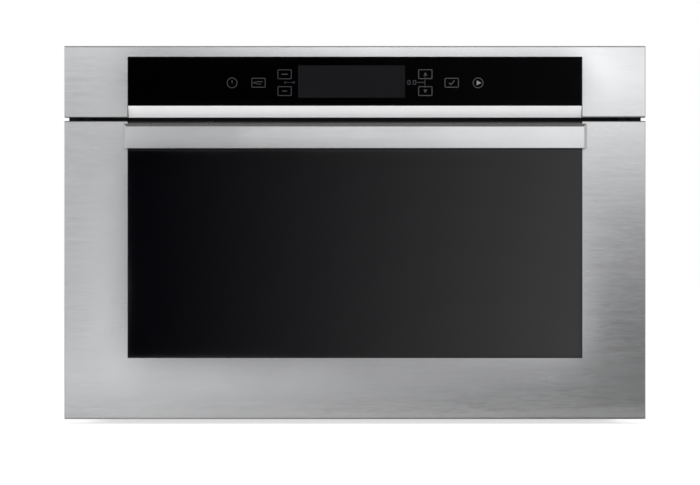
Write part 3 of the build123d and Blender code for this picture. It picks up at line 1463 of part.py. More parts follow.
inner_frame.part.label = "inner_frame"
export_step(inner_frame.part, "parts/inner_frame.step")

# Choke frame: quarter-wave channel round the window, its lip cut into fingers
choke_half = cavity_half + choke_width
choke_low_z = cavity_low_z - choke_width
choke_high_z = cavity_high_z + choke_width
choke_base_y = inner_back_y + choke_sheet
choke_mid_z = (choke_low_z + choke_high_z) / 2
choke_depth = choke_lip_y - inner_back_y
choke_wall_half = cavity_half - inner_wall_inset
choke_wall_low = cavity_low_z + inner_wall_inset
choke_wall_high = cavity_high_z - inner_wall_inset
finger_cut_past = 0.5
finger_cut = choke_lip - choke_sheet + finger_cut_past
finger_cut_centre = choke_sheet + finger_cut / 2
finger_columns = int((2 * choke_half - 2 * choke_lip) / finger_pitch)
finger_rows = int((choke_high_z - choke_low_z - 2 * choke_lip) / finger_pitch)


def choke_ring(depth, half, low_z, high_z, width, thickness):
    """Rectangular ring of a given width whose back lies at a depth y, extruded forward."""
    with BuildSketch(facing(depth)) as ring:
        span(-half, half, low_z, high_z)
        span(-half + width, half - width, low_z + width, high_z - width, mode=Mode.SUBTRACT)
    extrude(ring.sketch, amount=thickness)


with BuildPart() as choke_frame:
    with BuildSketch(facing(choke_base_y)):
        span(-choke_half, choke_half, choke_low_z, choke_high_z)
        span(-window_half, window_half, window_low_z, window_high_z, mode=Mode.SUBTRACT)
    extrude(amount=choke_sheet)
    choke_ring(choke_lip_y, choke_half, choke_low_z, choke_high_z, choke_sheet, choke_depth)
    choke_ring(choke_lip_y, choke_half, choke_low_z, choke_high_z, choke_lip, choke_sheet)
    choke_ring(choke_lip_y, choke_half - choke_lip + choke_sheet, choke_low_z + choke_lip - choke_sheet,
               choke_high_z - choke_lip + choke_sheet, choke_sheet, choke_lip_return)
    choke_ring(choke_lip_y, choke_wall_half, choke_wall_low, choke_wall_high, choke_sheet, choke_depth)
    choke_ring(choke_lip_y, choke_wall_half, choke_wall_low, choke_wall_high,
               choke_wall_half - window_half, choke_sheet)
    with BuildSketch(facing(choke_lip_y)):
        for z_edge, way in ((choke_high_z, -1), (choke_low_z, 1)):
            with Locations((0, z_edge + way * finger_cut_centre)):
                with GridLocations(finger_pitch, 0, finger_columns, 1):
                    Rectangle(finger_slot, finger_cut)
        for x_edge, way in ((choke_half, -1), (-choke_half, 1)):
            with Locations((x_edge + way * finger_cut_centre, choke_mid_z)):
                with GridLocations(0, finger_pitch, 1, finger_rows):
                    Rectangle(finger_cut, finger_slot)
    extrude(amount=choke_lip_return, mode=Mode.SUBTRACT)
choke_frame.part.label = "choke_frame"
export_step(choke_frame.part, "parts/choke_frame.step")

# Door screen: metal sheet over the window that keeps the waves in
screen_half = window_half + window_sheet_lap
with BuildPart() as door_screen:
    with BuildSketch(facing(choke_base_y + screen_thickness)):
        span(-screen_half, screen_half, window_low_z - window_sheet_lap, window_high_z + window_sheet_lap)
    extrude(amount=screen_thickness)
door_screen.part.label = "door_screen"
export_step(door_screen.part, "parts/door_screen.step")

# Inner window: pane on the cavity side of the door
inner_pane_half = choke_wall_half - inner_wall_inset
inner_pane_low = choke_wall_low + inner_wall_inset
inner_pane_high = choke_wall_high - inner_wall_inset
with BuildPart() as inner_window:
    with BuildSketch(facing(choke_back_y)):
        span(-inner_pane_half, inner_pane_half, inner_pane_low, inner_pane_high)
    extrude(amount=choke_cover_thickness)
inner_window.part.label = "inner_window"
export_step(inner_window.part, "parts/inner_window.step")

# Choke cover: moulded ring that closes the channel, with a skirt over the choke's outer wall
cover_skirt_wall = 1.2
skirt_out = choke_cover_play + cover_skirt_wall
with BuildPart() as choke_cover:
    with BuildSketch(facing(choke_back_y)):
        span(-choke_half - skirt_out, choke_half + skirt_out, choke_low_z - skirt_out, choke_high_z + skirt_out)
        span(-inner_pane_half - inner_window_play, inner_pane_half + inner_window_play,
             inner_pane_low - inner_window_play, inner_pane_high + inner_window_play, mode=Mode.SUBTRACT)
    extrude(amount=choke_cover_thickness)
    choke_ring(choke_lip_y, choke_half + skirt_out, choke_low_z - skirt_out, choke_high_z + skirt_out,
               cover_skirt_wall, choke_cover_skirt)
    chamfer(choke_cover.faces().sort_by(Axis.Y)[-1].outer_wire().edges(), cover_skirt_wall / 2)
choke_cover.part.label = "choke_cover"
export_step(choke_cover.part, "parts/choke_cover.step")

# Door handle: bevelled bar
with BuildPart() as door_handle:
    with BuildSketch(Plane.YZ.offset(-handle_length / 2)):
        with BuildLine():
            Polyline(
                (handle_front_y, handle_low_z + handle_edge_bevel),
                (handle_front_y, handle_high_z - handle_bevel),
                (handle_front_y + handle_bevel, handle_high_z),
                (handle_back_y - handle_edge_bevel, handle_high_z),
                (handle_back_y, handle_high_z - handle_edge_bevel),
                (handle_back_y, handle_low_z + handle_edge_bevel),
                (handle_back_y - handle_edge_bevel, handle_low_z),
                (handle_front_y + handle_edge_bevel, handle_low_z),
                close=True,
            )
        make_face()
    extrude(amount=handle_length)
    chamfer(door_handle.edges().filter_by(Axis.Z).group_by(Axis.Y)[0], handle_bevel)
door_handle.part.label = "door_handle"
export_step(door_handle.part, "parts/door_handle.step")

# Handle posts: turned spacers between the glass and the bar, threaded for the screws
post_length = glass_front_y - handle_back_y
screw_grip = 10.0
screw_end_gap = 1.0
with BuildPart() as handle_posts:
    for side in (-1, 1):
        with BuildSketch(facing(glass_front_y)):
            with Locations((side * post_x, handle_mid_z)):
                Circle(post_foot_radius)
        extrude(amount=post_foot_height)
        with BuildSketch(facing(glass_front_y)):
            with Locations((side * post_x, handle_mid_z)):
                Circle(post_radius)
        extrude(amount=post_length)
    with BuildSketch(facing(glass_front_y)):
        with Locations((-post_x, handle_mid_z), (post_x, handle_mid_z)):
            Circle(pilot_radius)
    extrude(amount=screw_grip, mode=Mode.SUBTRACT)
handle_posts.part.label = "handle_posts"
export_step(handle_posts.part, "parts/handle_posts.step")

# Handle screws: pan heads behind the inner frame, shanks through the glass into the posts
with BuildPart() as handle_screws:
    for side in (-1, 1):
        pan_screw(Plane((side * post_x, inner_back_y, handle_mid_z), z_dir=(0, 1, 0)),
                  inner_sheet + glass_thickness + screw_grip - screw_end_gap)
handle_screws.part.label = "handle_screws"
export_step(handle_screws.part, "parts/handle_screws.step")

# Hinge clevises: two ears on a foot behind the inner frame, round each hinge arm
ear_inner = hinge_arm_thickness / 2 + hinge_side_play
ear_outer = ear_inner + clevis_sheet
clevis_lift = 1.0
clevis_neck = 8.0
clevis_low_z = hinge_notch_high + clevis_lift
with BuildPart() as hinge_clevises:
    for side in (-1, 1):
        with BuildSketch(facing(inner_back_y + clevis_foot)):
            span(side * hinge_x - ear_outer, side * hinge_x + ear_outer, clevis_low_z,
                 clevis_low_z + clevis_height)
        extrude(amount=clevis_foot)
        for ear_x in (side * hinge_x - ear_outer, side * hinge_x + ear_inner):
            with BuildSketch(Plane.YZ.offset(ear_x)):
                with Locations((hinge_y, hinge_z)):
                    Circle(hinge_eye_radius)
                with BuildLine():
                    Polyline(
                        (hinge_y, hinge_z),
                        (hinge_y + hinge_eye_radius, hinge_z),
                        (hinge_y + hinge_eye_radius, clevis_low_z + clevis_neck),
                        (inner_back_y, clevis_low_z + clevis_height),
                        (inner_back_y, hinge_z),
                        close=True,
                    )
                make_face()
                with Locations((hinge_y, hinge_z)):
                    Circle(hinge_pin_radius + hinge_press_play, mode=Mode.SUBTRACT)
            extrude(amount=clevis_sheet)
hinge_clevises.part.label = "hinge_clevises"
export_step(hinge_clevises.part, "parts/hinge_clevises.step")

# Hinge pins: headed pins through the ears and the arm, longer inboard to carry the springs
pin_end = 1.2
pin_head_radius = 3.8
with BuildPart() as hinge_pins:
    for side in (-1, 1):
        pin_start = Plane((side * (hinge_x + ear_outer), hinge_y, hinge_z), z_dir=(-side, 0, 0))
        with BuildSketch(pin_start):
            Circle(hinge_pin_radius)
        extrude(amount=2 * ear_outer + spring_space)
        with BuildSketch(pin_start):
            Circle(pin_head_radius)
        extrude(amount=-pin_end)
hinge_pins.part.label = "hinge_pins"
export_step(hinge_pins.part, "parts/hinge_pins.step")

# Case screws: the same pan-head screw for the fascia, the cover's sides and the hinge arms
with BuildPart() as case_screws:
    for side in (-1, 1):
        pan_screw(Plane((side * tab_x, fascia_screw_y, control_low_z), z_dir=(0, 0, -1)))
        for screw_y, screw_z in base_screws + front_screws + back_screws:
            pan_screw(Plane((side * body_width / 2, screw_y, screw_z), z_dir=(side, 0, 0)))
        pan_screw(Plane((side * hinge_x, seal_y - hinge_foot_thickness, hinge_screw_z), z_dir=(0, -1, 0)))
case_screws.part.label = "case_screws"
export_step(case_screws.part, "parts/case_screws.step")

# Latch hooks: two barbed hooks on one rod that turns in the inner frame's ears
hook_tip_y = seal_back_y + hook_reach
hook_half = hook_height / 2
hook_barb_length = 9.0
rod_end = 3.0
with BuildPart() as latch_hooks:
    with BuildSketch(Plane.YZ.offset(-latch_ear_x - rod_end)):
        with Locations((latch_rod_y, latch_z)):
            Circle(latch_rod_radius)
    extrude(amount=2 * (latch_ear_x + rod_end))
    for side in (-1, 1):
        with BuildSketch(Plane.YZ.offset(side * hook_spacing / 2 - hook_thickness / 2)):
            with BuildLine():
                Polyline(
                    (latch_rod_y, latch_z - hook_half),
                    (hook_tip_y - hook_barb_length, latch_z - hook_half),
                    (hook_tip_y - hook_barb_length, latch_z - hook_half - hook_barb),
                    (hook_tip_y - hook_barb_length / 3, latch_z - hook_half - hook_barb),
                    (hook_tip_y, latch_z + hook_half / 4),
                    (hook_tip_y - hook_barb_length / 3, latch_z + hook_half),
                    (latch_rod_y, latch_z + hook_half),
                    close=True,
                )
            make_face()
            with Locations((latch_rod_y, latch_z)):
                Circle(hook_half)
        extrude(amount=hook_thickness)
latch_hooks.part.label = "latch_hooks"
export_step(latch_hooks.part, "parts/latch_hooks.step")

# Springs: coils swept along quarter turns, with a straight tail at each end
spring_wire_radius = 0.6
spring_sides = 6
spring_pitch = 2.6
spring_clearance = 0.35
spring_tail = 6.0


def coil_spring(start, way, rod_radius, turns):
    """Coil round an X-wise rod from a point on its axis; its turns lie on quarter-turn arcs."""
    middle = rod_radius + spring_clearance + spring_wire_radius
    places = []
    for step in range(8 * turns + 1):
        turn = step * pi / 4
        places.append(start + Vector(way * spring_pitch * step / 8, middle * cos(turn), middle * sin(turn)))
    with BuildLine(mode=Mode.PRIVATE) as path:
        Line(places[0] - Vector(0, 0, spring_tail), places[0])
        for quarter in range(4 * turns):
            ThreePointArc(*places[2 * quarter:2 * quarter + 3])
        Line(places[-1], places[-1] + Vector(0, 0, spring_tail))
    with BuildSketch(Plane(path.line @ 0, z_dir=(0, 0, 1)), mode=Mode.PRIVATE) as wire:
        RegularPolygon(spring_wire_radius, spring_sides)
    sweep(wire.sketch, path=path.line)


# Hinge springs: one round the inboard end of each pin
hinge_spring_turns = 2
spring_start = ear_outer + spring_wire_radius + spring_clearance
with BuildPart() as hinge_springs:
    for side in (-1, 1):
        coil_spring(Vector(side * (hinge_x - spring_start), hinge_y, hinge_z), -side,
                    hinge_pin_radius, hinge_spring_turns)
hinge_springs.part.label = "hinge_springs"
export_step(hinge_springs.part, "parts/hinge_springs.step")

# Latch spring: coil round the middle of the latch rod
latch_spring_turns = 3
with BuildPart() as latch_spring:
    coil_spring(Vector(-spring_pitch * latch_spring_turns / 2, latch_rod_y, latch_z), 1,
                latch_rod_radius, latch_spring_turns)
latch_spring.part.label = "latch_spring"
export_step(latch_spring.part, "parts/latch_spring.step")

print("spring gap between turns", round(spring_pitch - 2 * spring_wire_radius, 2))
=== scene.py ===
"""Built-in microwave oven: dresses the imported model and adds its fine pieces, in metres, in the model's own frame."""

import logging
from dataclasses import dataclass, field
from enum import Enum
from math import cos, pi, radians, sin
from typing import Callable, Iterable, Optional, Sequence

import bmesh
import bpy
from mathutils import Matrix, Vector


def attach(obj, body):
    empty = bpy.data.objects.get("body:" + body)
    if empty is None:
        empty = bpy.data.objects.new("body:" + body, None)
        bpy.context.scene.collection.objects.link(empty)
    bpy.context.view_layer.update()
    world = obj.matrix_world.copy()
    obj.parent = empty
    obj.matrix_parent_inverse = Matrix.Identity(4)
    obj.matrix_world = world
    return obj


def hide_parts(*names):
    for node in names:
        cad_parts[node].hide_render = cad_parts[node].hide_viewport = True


logging.basicConfig(level=logging.INFO, format="%(message)s")
log = logging.getLogger("microwave")

Colour = tuple[float, float, float]
Point = tuple[float, float, float]
Flat = tuple[float, float]
Outline = Sequence[Flat]
Shape = bmesh.types.BMesh
Edge = bmesh.types.BMEdge
Socket = bpy.types.NodeSocket
Sockets = dict[str, object]
Outputs = bpy.types.bpy_prop_collection

X_AXIS, Y_AXIS, Z_AXIS = (1.0, 0.0, 0.0), (0.0, 1.0, 0.0), (0.0, 0.0, 1.0)
WHITE = (1.0, 1.0, 1.0)
SIDES = (-1, 1)
TINY = 1e-6

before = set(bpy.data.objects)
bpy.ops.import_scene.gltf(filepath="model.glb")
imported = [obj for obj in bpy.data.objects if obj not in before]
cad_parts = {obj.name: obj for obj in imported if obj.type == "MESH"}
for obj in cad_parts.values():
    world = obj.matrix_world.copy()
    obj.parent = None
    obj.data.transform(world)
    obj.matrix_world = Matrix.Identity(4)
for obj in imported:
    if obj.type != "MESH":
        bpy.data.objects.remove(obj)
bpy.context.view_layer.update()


# ---------------------------------------------------------------- node trees


class Sheet:
    """A material's or group's node tree, with short calls to add and join nodes."""

    def __init__(self, tree: bpy.types.NodeTree) -> None:
        """Args:
            tree: the node tree to fill; what it holds is cleared.
        """
        self.tree = tree
        tree.nodes.clear()

    def node(self, kind: str, inputs: Optional[dict] = None, **settings: object) -> bpy.types.Node:
        """Adds one node.

        Args:
            kind: the node's type name, without the ShaderNode prefix.
            inputs: socket name or number to a value or another node's output.
            settings: the node's own properties.

        Returns:
            The new node.
        """
        made = self.tree.nodes.new(kind if kind.startswith("Node") else "ShaderNode" + kind)
        for name, value in settings.items():
            setattr(made, name, value)
        for name, value in (inputs or {}).items():
            self.feed(made.inputs[name], value)
        return made

    def feed(self, socket: Socket, value: object) -> None:
        """Links an output to the socket, or sets its constant."""
        if isinstance(value, Socket):
            self.tree.links.new(value, socket)
        elif isinstance(value, tuple) and len(value) == 3 and socket.type == "RGBA":
            socket.default_value = (*value, 1.0)
        else:
            socket.default_value = value

    def maths(self, way: str, first: object, second: object = 0.0) -> Socket:
        """One Math node's result."""
        return self.node("Math", {0: first, 1: second}, operation=way).outputs[0]

    def times(self, first: object, second: object) -> Socket:
        """Product of two numbers."""
        return self.maths("MULTIPLY", first, second)

    def plus(self, first: object, second: object) -> Socket:
        """Sum of two numbers."""
        return self.maths("ADD", first, second)

    def between(self, factor: object, first: object, second: object) -> Socket:
        """Number between two numbers."""
        return self.plus(first, self.times(self.maths("SUBTRACT", second, first), factor))

    def remap(self, value: object, low: float, high: float, to_low: float = 0.0, to_high: float = 1.0) -> Socket:
        """Value taken from one range to another, held at its ends."""
        return self.node("MapRange", {0: value, 1: low, 2: high, 3: to_low, 4: to_high}).outputs[0]

    def mix(self, factor: object, first: object, second: object) -> Socket:
        """Colour between two colours."""
        return self.node("Mix", {0: factor, 6: first, 7: second}, data_type="RGBA").outputs[2]

    def vector(self, way: str, first: object, second: Optional[object] = None) -> Outputs:
        """One vector node's outputs."""
        inputs = {0: first} if second is None else {0: first, 1: second}
        return self.node("VectorMath", inputs, operation=way).outputs

    def here(self) -> Socket:
        """Object coordinates."""
        return self.node("TexCoord").outputs["Object"]

    def place(self, stretch: Point = WHITE, move: Point = (0.0, 0.0, 0.0)) -> Socket:
        """Object coordinates, scaled and moved."""
        return self.node("Mapping", {"Vector": self.here(), "Location": move, "Scale": stretch}).outputs[0]

    def noise(self, where: object, scale: object, detail: float = 2.0, rough: float = 0.5, bend: float = 0.0) -> Socket:
        """Noise value between 0 and 1 at a place."""
        return self.node("TexNoise", {"Vector": where, "Scale": scale, "Detail": detail, "Roughness": rough,
                                      "Distortion": bend}).outputs[0]

    def cells(self, where: object, scale: object, distance: str = "EUCLIDEAN") -> Outputs:
        """Outputs of a cell pattern: Distance from each cell's middle and the cell's Color."""
        return self.node("TexVoronoi", {"Vector": where, "Scale": scale}, distance=distance).outputs

    def channel(self, colour: Socket, number: int) -> Socket:
        """One channel of a colour."""
        return self.node("SeparateColor", {0: colour}).outputs[number]

    def bump(self, height: object, depth: float = 1.0) -> Socket:
        """Normal of a height, in metres once it is scaled by the depth."""
        return self.node("Bump", {"Height": self.times(height, depth), "Distance": 1.0, "Strength": 1.0}).outputs[0]

    def effect(self, name: str, **inputs: object) -> Outputs:
        """Outputs of a shared effect; an input's spaces are written as underscores."""
        made = self.node("Group", node_tree=bpy.data.node_groups[name])
        for label, value in inputs.items():
            self.feed(made.inputs[label.replace("_", " ")], value)
        return made.outputs

    def marks(self, size: float, amount: float) -> Socket:
        """Smudge of the shared handling marks."""
        return self.effect("handling_marks", Size=size, Amount=amount)["Smudge"]

    def surface(self, kind: str, inputs: Sockets) -> None:
        """Adds the shader and the output that shows it."""
        self.node("OutputMaterial", {"Surface": self.node(kind, inputs).outputs[0]})


def new_material(name: str) -> tuple[bpy.types.Material, Sheet]:
    """A new material and its empty sheet."""
    made = bpy.data.materials.new(name)
    made.use_nodes = True
    return made, Sheet(made.node_tree)


# ---------------------------------------------------------------- shared effects


def brushing(sheet: Sheet, given: Outputs) -> Sockets:
    """Long fine scratches of a brushing belt: Streak from 0 to 1 and Height, by scratches a metre along each axis."""
    stretch = sheet.node("CombineXYZ", {number: given[f"Along {axis}"] for number, axis in enumerate("XYZ")}).outputs[0]
    scaled = sheet.vector("MULTIPLY", sheet.here(), stretch)[0]
    fine = sheet.noise(scaled, scale=1.0, detail=3.0, rough=0.6)
    broad = sheet.noise(sheet.vector("MULTIPLY", scaled, (0.23, 0.23, 0.23))[0], scale=1.0, detail=1.0)
    return {"Streak": sheet.plus(sheet.times(fine, 0.65), sheet.times(broad, 0.35)),
            "Height": sheet.times(fine, given["Depth"])}


def handling(sheet: Sheet, given: Outputs) -> Sockets:
    """Soft cloudy marks of handling and cleaning: Smudge from 0 to 1, by Size (marks a metre) and Amount."""
    cloud = sheet.noise(sheet.here(), given["Size"], detail=4.0, rough=0.62, bend=0.6)
    return {"Smudge": sheet.times(sheet.remap(cloud, 0.38, 0.72), given["Amount"])}


def dust(sheet: Sheet, given: Outputs) -> Sockets:
    """Dust on faces that look up, broken by noise: Dust from 0 to 1, by Amount."""
    up = sheet.node("SeparateXYZ", {0: sheet.node("TexCoord").outputs["Normal"]}).outputs[2]
    broken = sheet.remap(sheet.noise(sheet.here(), scale=90.0, detail=5.0, rough=0.7), 0.42, 0.68, 0.15, 1.0)
    return {"Dust": sheet.times(sheet.times(sheet.remap(up, 0.55, 0.95), broken), given["Amount"])}


def moulding(sheet: Sheet, given: Outputs) -> Sockets:
    """Fine spark-eroded skin of a moulding: Height and Spot, by Grain (spots a metre) and Depth."""
    spots = sheet.cells(sheet.here(), given["Grain"])["Distance"]
    rough = sheet.noise(sheet.here(), given["Grain"], detail=3.0)
    joined = sheet.plus(sheet.times(spots, 0.5), sheet.times(rough, 0.5))
    return {"Height": sheet.times(joined, given["Depth"]), "Spot": rough}


def spangle(sheet: Sheet, given: Outputs) -> Sockets:
    """Zinc crystals of galvanised sheet: Crystal, a shade for each from 0 to 1, by Grain (crystals a metre)."""
    bent = sheet.node("TexNoise", {"Vector": sheet.here(), "Scale": 60.0, "Detail": 2.0}).outputs[1]
    shift = sheet.node("VectorMath", {0: bent, 3: 0.012}, operation="SCALE").outputs[0]
    cells = sheet.cells(sheet.vector("ADD", sheet.here(), shift)[0], given["Grain"])
    return {"Crystal": sheet.channel(cells["Color"], 0)}


def share_effect(name: str, fill: Callable[[Sheet, Outputs], Sockets], inputs: dict[str, float]) -> None:
    """Builds a shared effect once, as a node group.

    Args:
        name: the group's name.
        fill: fills the sheet from the group's inputs and returns each output's source.
        inputs: each input's name and default.
    """
    tree = bpy.data.node_groups.new(name, "ShaderNodeTree")
    for label, value in inputs.items():
        tree.interface.new_socket(label, in_out="INPUT", socket_type="NodeSocketFloat").default_value = value
    sheet = Sheet(tree)
    sources = fill(sheet, sheet.node("NodeGroupInput").outputs)
    for label in sources:
        tree.interface.new_socket(label, in_out="OUTPUT", socket_type="NodeSocketFloat")
    sheet.node("NodeGroupOutput", sources)


share_effect("brushing", brushing, {"Along X": 30.0, "Along Y": 30.0, "Along Z": 3000.0, "Depth": 0.00001})
share_effect("handling_marks", handling, {"Size": 9.0, "Amount": 1.0})
share_effect("lying_dust", dust, {"Amount": 1.0})
share_effect("moulded_skin", moulding, {"Grain": 1800.0, "Depth": 0.00003})
share_effect("zinc_spangle", spangle, {"Grain": 130.0})


# ---------------------------------------------------------------- kinds of finish

WARM_DUST = (0.50, 0.48, 0.45)
DARK_DUST = (0.42, 0.41, 0.38)
SOLDER = (0.55, 0.52, 0.45)
HARD_COAT_GLOSS = 1.4


@dataclass(frozen=True)
class Finish:
    """A surface finish; each kind says what its shader's sockets get."""

    name: str
    colour: Colour = (0.5, 0.5, 0.5)
    rough: float = 0.4

    def material(self) -> bpy.types.Material:
        """The finish's material, made on its first use."""
        made = bpy.data.materials.get(self.name)
        if made is None:
            made, sheet = new_material(self.name)
            made.diffuse_color = (*self.colour, 1.0)
            sheet.surface("BsdfPrincipled", {"Base Color": self.colour, "Roughness": self.rough, **self.sockets(sheet)})
        return made

    def sockets(self, sheet: Sheet) -> Sockets:
        """What feeds the shader besides plain colour and roughness."""
        return {}

    def tint(self, factor: float) -> Colour:
        """The finish's colour, lighter or darker."""
        return tuple(min(1.0, part * factor) for part in self.colour)

    def spread(self, sheet: Sheet, value: Socket, low: float, high: float, less: float, more: float) -> Socket:
        """Roughness that a value between two bounds takes from less to more than the finish's own."""
        return sheet.remap(value, low, high, self.rough - less, self.rough + more)


@dataclass(frozen=True)
class BrushedSteel(Finish):
    """Stainless sheet brushed along one axis; the grip strip's copy takes less metal and a much lighter colour, a
    painted highlight.
    """

    grain: Point = (26.0, 26.0, 2600.0)
    depth: float = 0.000012
    contrast: float = 0.10
    smudge: float = 0.05
    metal: float = 1.0

    def sockets(self, sheet: Sheet) -> Sockets:
        """Streaks in colour, roughness and normal, with faint marks of cleaning."""
        streaks = sheet.effect("brushing", Along_X=self.grain[0], Along_Y=self.grain[1], Along_Z=self.grain[2],
                               Depth=self.depth)
        marks = sheet.marks(size=7.0, amount=self.smudge)
        spread = self.spread(sheet, streaks["Streak"], low=0.3, high=0.7, less=0.04, more=0.05)
        shade = sheet.mix(streaks["Streak"], self.tint(1.0 - self.contrast), self.tint(1.0 + self.contrast))
        return {"Base Color": sheet.mix(marks, shade, self.tint(0.8)), "Metallic": self.metal,
                "Roughness": sheet.plus(spread, marks), "Normal": sheet.bump(streaks["Height"])}


@dataclass(frozen=True)
class PrintedGlass(Finish):
    """Glass with black enamel printed on its back."""

    smudge: float = 0.04

    def sockets(self, sheet: Sheet) -> Sockets:
        """Faint wipe marks that only show in the reflections."""
        marks = sheet.marks(size=5.0, amount=self.smudge)
        return {"Base Color": sheet.mix(marks, self.colour, self.tint(1.6)), "Roughness": sheet.plus(marks, self.rough),
                "IOR": 1.5}


@dataclass(frozen=True)
class ClearGlass(Finish):
    """Clear pressed or drawn glass."""

    wave: float = 0.00004

    def sockets(self, sheet: Sheet) -> Sockets:
        """Slow waves of the pressing and a trace of grease."""
        return {"Roughness": sheet.plus(sheet.marks(size=14.0, amount=0.06), self.rough),
                "IOR": 1.47, "Transmission Weight": 1.0,
                "Normal": sheet.bump(sheet.noise(sheet.place(), scale=22.0, detail=1.0), self.wave)}


@dataclass(frozen=True)
class ZincSheet(Finish):
    """Galvanised sheet with its spangle."""

    grain: float = 230.0
    metal: float = 0.85

    def sockets(self, sheet: Sheet) -> Sockets:
        """Crystals, rolling marks, handling marks and a little dust."""
        crystals = sheet.effect("zinc_spangle", Grain=self.grain)["Crystal"]
        lying = sheet.effect("lying_dust", Amount=0.25)["Dust"]
        shade = sheet.mix(crystals, self.tint(0.92), self.tint(1.08))
        shade = sheet.mix(sheet.marks(size=6.0, amount=0.5), shade, self.tint(0.86))
        spread = self.spread(sheet, crystals, low=0.0, high=1.0, less=0.05, more=0.06)
        return {"Base Color": sheet.mix(lying, shade, WARM_DUST),
                "Roughness": sheet.plus(spread, sheet.times(lying, 0.8)),
                "Metallic": sheet.remap(lying, 0.0, 1.0, self.metal, 0.3),
                "Normal": sheet.bump(sheet.noise(sheet.place((40.0, 6.0, 40.0)), scale=6.0, detail=3.0), depth=0.00003)}


@dataclass(frozen=True)
class Enamel(Finish):
    """Fired or stoved enamel with fine specks; a low gloss, as on the front frame, has no hard coat and dims the
    reflections that the gaps round the front show, a painted shade.
    """

    speck: Colour = (0.75, 0.75, 0.75)
    speck_share: float = 0.30
    gloss: float = 1.5

    def sockets(self, sheet: Sheet) -> Sockets:
        """Specks, orange peel and wiped stains under the coat."""
        dots = sheet.cells(sheet.place(), scale=420.0)["Distance"]
        near = sheet.remap(dots, 0.12, 0.2, self.speck_share, 0.0)
        marks = sheet.marks(size=11.0, amount=0.35)
        shade = sheet.mix(marks, self.colour, self.tint(0.9))
        return {"Base Color": sheet.mix(near, shade, self.speck), "IOR": self.gloss,
                "Roughness": self.spread(sheet, marks, low=0.0, high=0.4, less=0.0, more=0.12),
                "Coat Weight": 0.35 if self.gloss > HARD_COAT_GLOSS else 0.0, "Coat Roughness": 0.18,
                "Normal": sheet.bump(sheet.noise(sheet.place(), scale=260.0), depth=0.00006)}


@dataclass(frozen=True)
class Moulding(Finish):
    """Moulded plastic or rubber with an eroded skin; its refractive index sets how much it mirrors."""

    grain: float = 1800.0
    depth: float = 0.00003
    dust: float = 0.18
    gloss: float = 1.5

    def sockets(self, sheet: Sheet) -> Sockets:
        """Skin, flow shades, dust and rubbed spots."""
        skin = sheet.effect("moulded_skin", Grain=self.grain, Depth=self.depth)
        flow = sheet.noise(sheet.place((3.0, 3.0, 9.0)), scale=7.0)
        lying = sheet.effect("lying_dust", Amount=self.dust)["Dust"]
        shade = sheet.mix(flow, self.tint(0.85), self.tint(1.18))
        return {"Base Color": sheet.mix(lying, shade, DARK_DUST), "IOR": self.gloss,
                "Roughness": self.spread(sheet, skin["Spot"], low=0.3, high=0.7, less=0.05, more=0.07),
                "Normal": sheet.bump(skin["Height"])}


@dataclass(frozen=True)
class PlatedSteel(Finish):
    """Zinc or nickel plated steel, slightly blotched."""

    def sockets(self, sheet: Sheet) -> Sockets:
        """Blotches of the bath and drawing scratches."""
        blotch = sheet.noise(sheet.place(), scale=55.0, detail=4.0, rough=0.65)
        shade = sheet.mix(blotch, self.tint(0.82), self.tint(1.12))
        scratch = sheet.noise(sheet.place((900.0, 900.0, 60.0)), scale=1.0)
        return {"Base Color": sheet.mix(sheet.marks(size=40.0, amount=0.4), shade, self.tint(0.7)), "Metallic": 1.0,
                "Roughness": self.spread(sheet, blotch, low=0.3, high=0.7, less=0.06, more=0.1),
                "Normal": sheet.bump(scratch, depth=0.000008)}


@dataclass(frozen=True)
class Layered(Finish):
    """Stacked sheets or wound wire under varnish: fine lines across one axis."""

    lines: Point = (0.0, 2000.0, 0.0)
    metal: float = 0.6
    depth: float = 0.00012
    dark: float = 0.45

    def sockets(self, sheet: Sheet) -> Sockets:
        """A line between each two layers, with uneven varnish."""
        parts = sheet.node("SeparateXYZ", {0: sheet.place(self.lines)}).outputs
        along = sheet.plus(sheet.plus(parts[0], parts[1]), parts[2])
        crest = sheet.remap(sheet.maths("SINE", sheet.times(along, 2 * pi)), -1.0, 0.2)
        varnish = sheet.noise(sheet.place(), scale=45.0, detail=3.0)
        pooled = sheet.remap(varnish, 0.4, 0.7, 0.0, 0.5)
        shade = sheet.mix(crest, self.tint(self.dark), self.colour)
        return {"Base Color": sheet.mix(pooled, shade, self.tint(0.6)), "Metallic": self.metal,
                "Roughness": self.spread(sheet, varnish, low=0.3, high=0.7, less=0.08, more=0.12),
                "Coat Weight": 0.3, "Coat Roughness": 0.25, "Normal": sheet.bump(crest, self.depth)}


@dataclass(frozen=True)
class CircuitBoard(Finish):
    """Glossy solder resist over copper tracks."""

    def sockets(self, sheet: Sheet) -> Sockets:
        """Tracks and pads that shine through the lacquer."""
        track = sheet.remap(sheet.cells(sheet.place(), scale=150.0, distance="MANHATTAN")["Distance"], 0.30, 0.36)
        pad = sheet.remap(sheet.cells(sheet.place(), scale=260.0)["Distance"], 0.16, 0.2, 1.0, 0.0)
        shade = sheet.mix(track, self.colour, self.tint(1.8))
        return {"Base Color": sheet.mix(pad, shade, SOLDER),
                "Roughness": sheet.remap(pad, 0.0, 1.0, self.rough, 0.25),
                "Coat Weight": 0.4, "Coat Roughness": 0.1, "Normal": sheet.bump(track, depth=0.00004)}


@dataclass(frozen=True)
class Flakes(Finish):
    """Pressed mica: overlapping pale flakes."""

    def sockets(self, sheet: Sheet) -> Sockets:
        """Flakes in shade, gloss and height."""
        flake = sheet.channel(sheet.cells(sheet.place(), scale=240.0)["Color"], 1)
        return {"Base Color": sheet.mix(flake, self.tint(0.8), self.tint(1.15)),
                "Roughness": self.spread(sheet, flake, low=0.0, high=1.0, less=0.15, more=0.1),
                "Normal": sheet.bump(flake, depth=0.00003)}


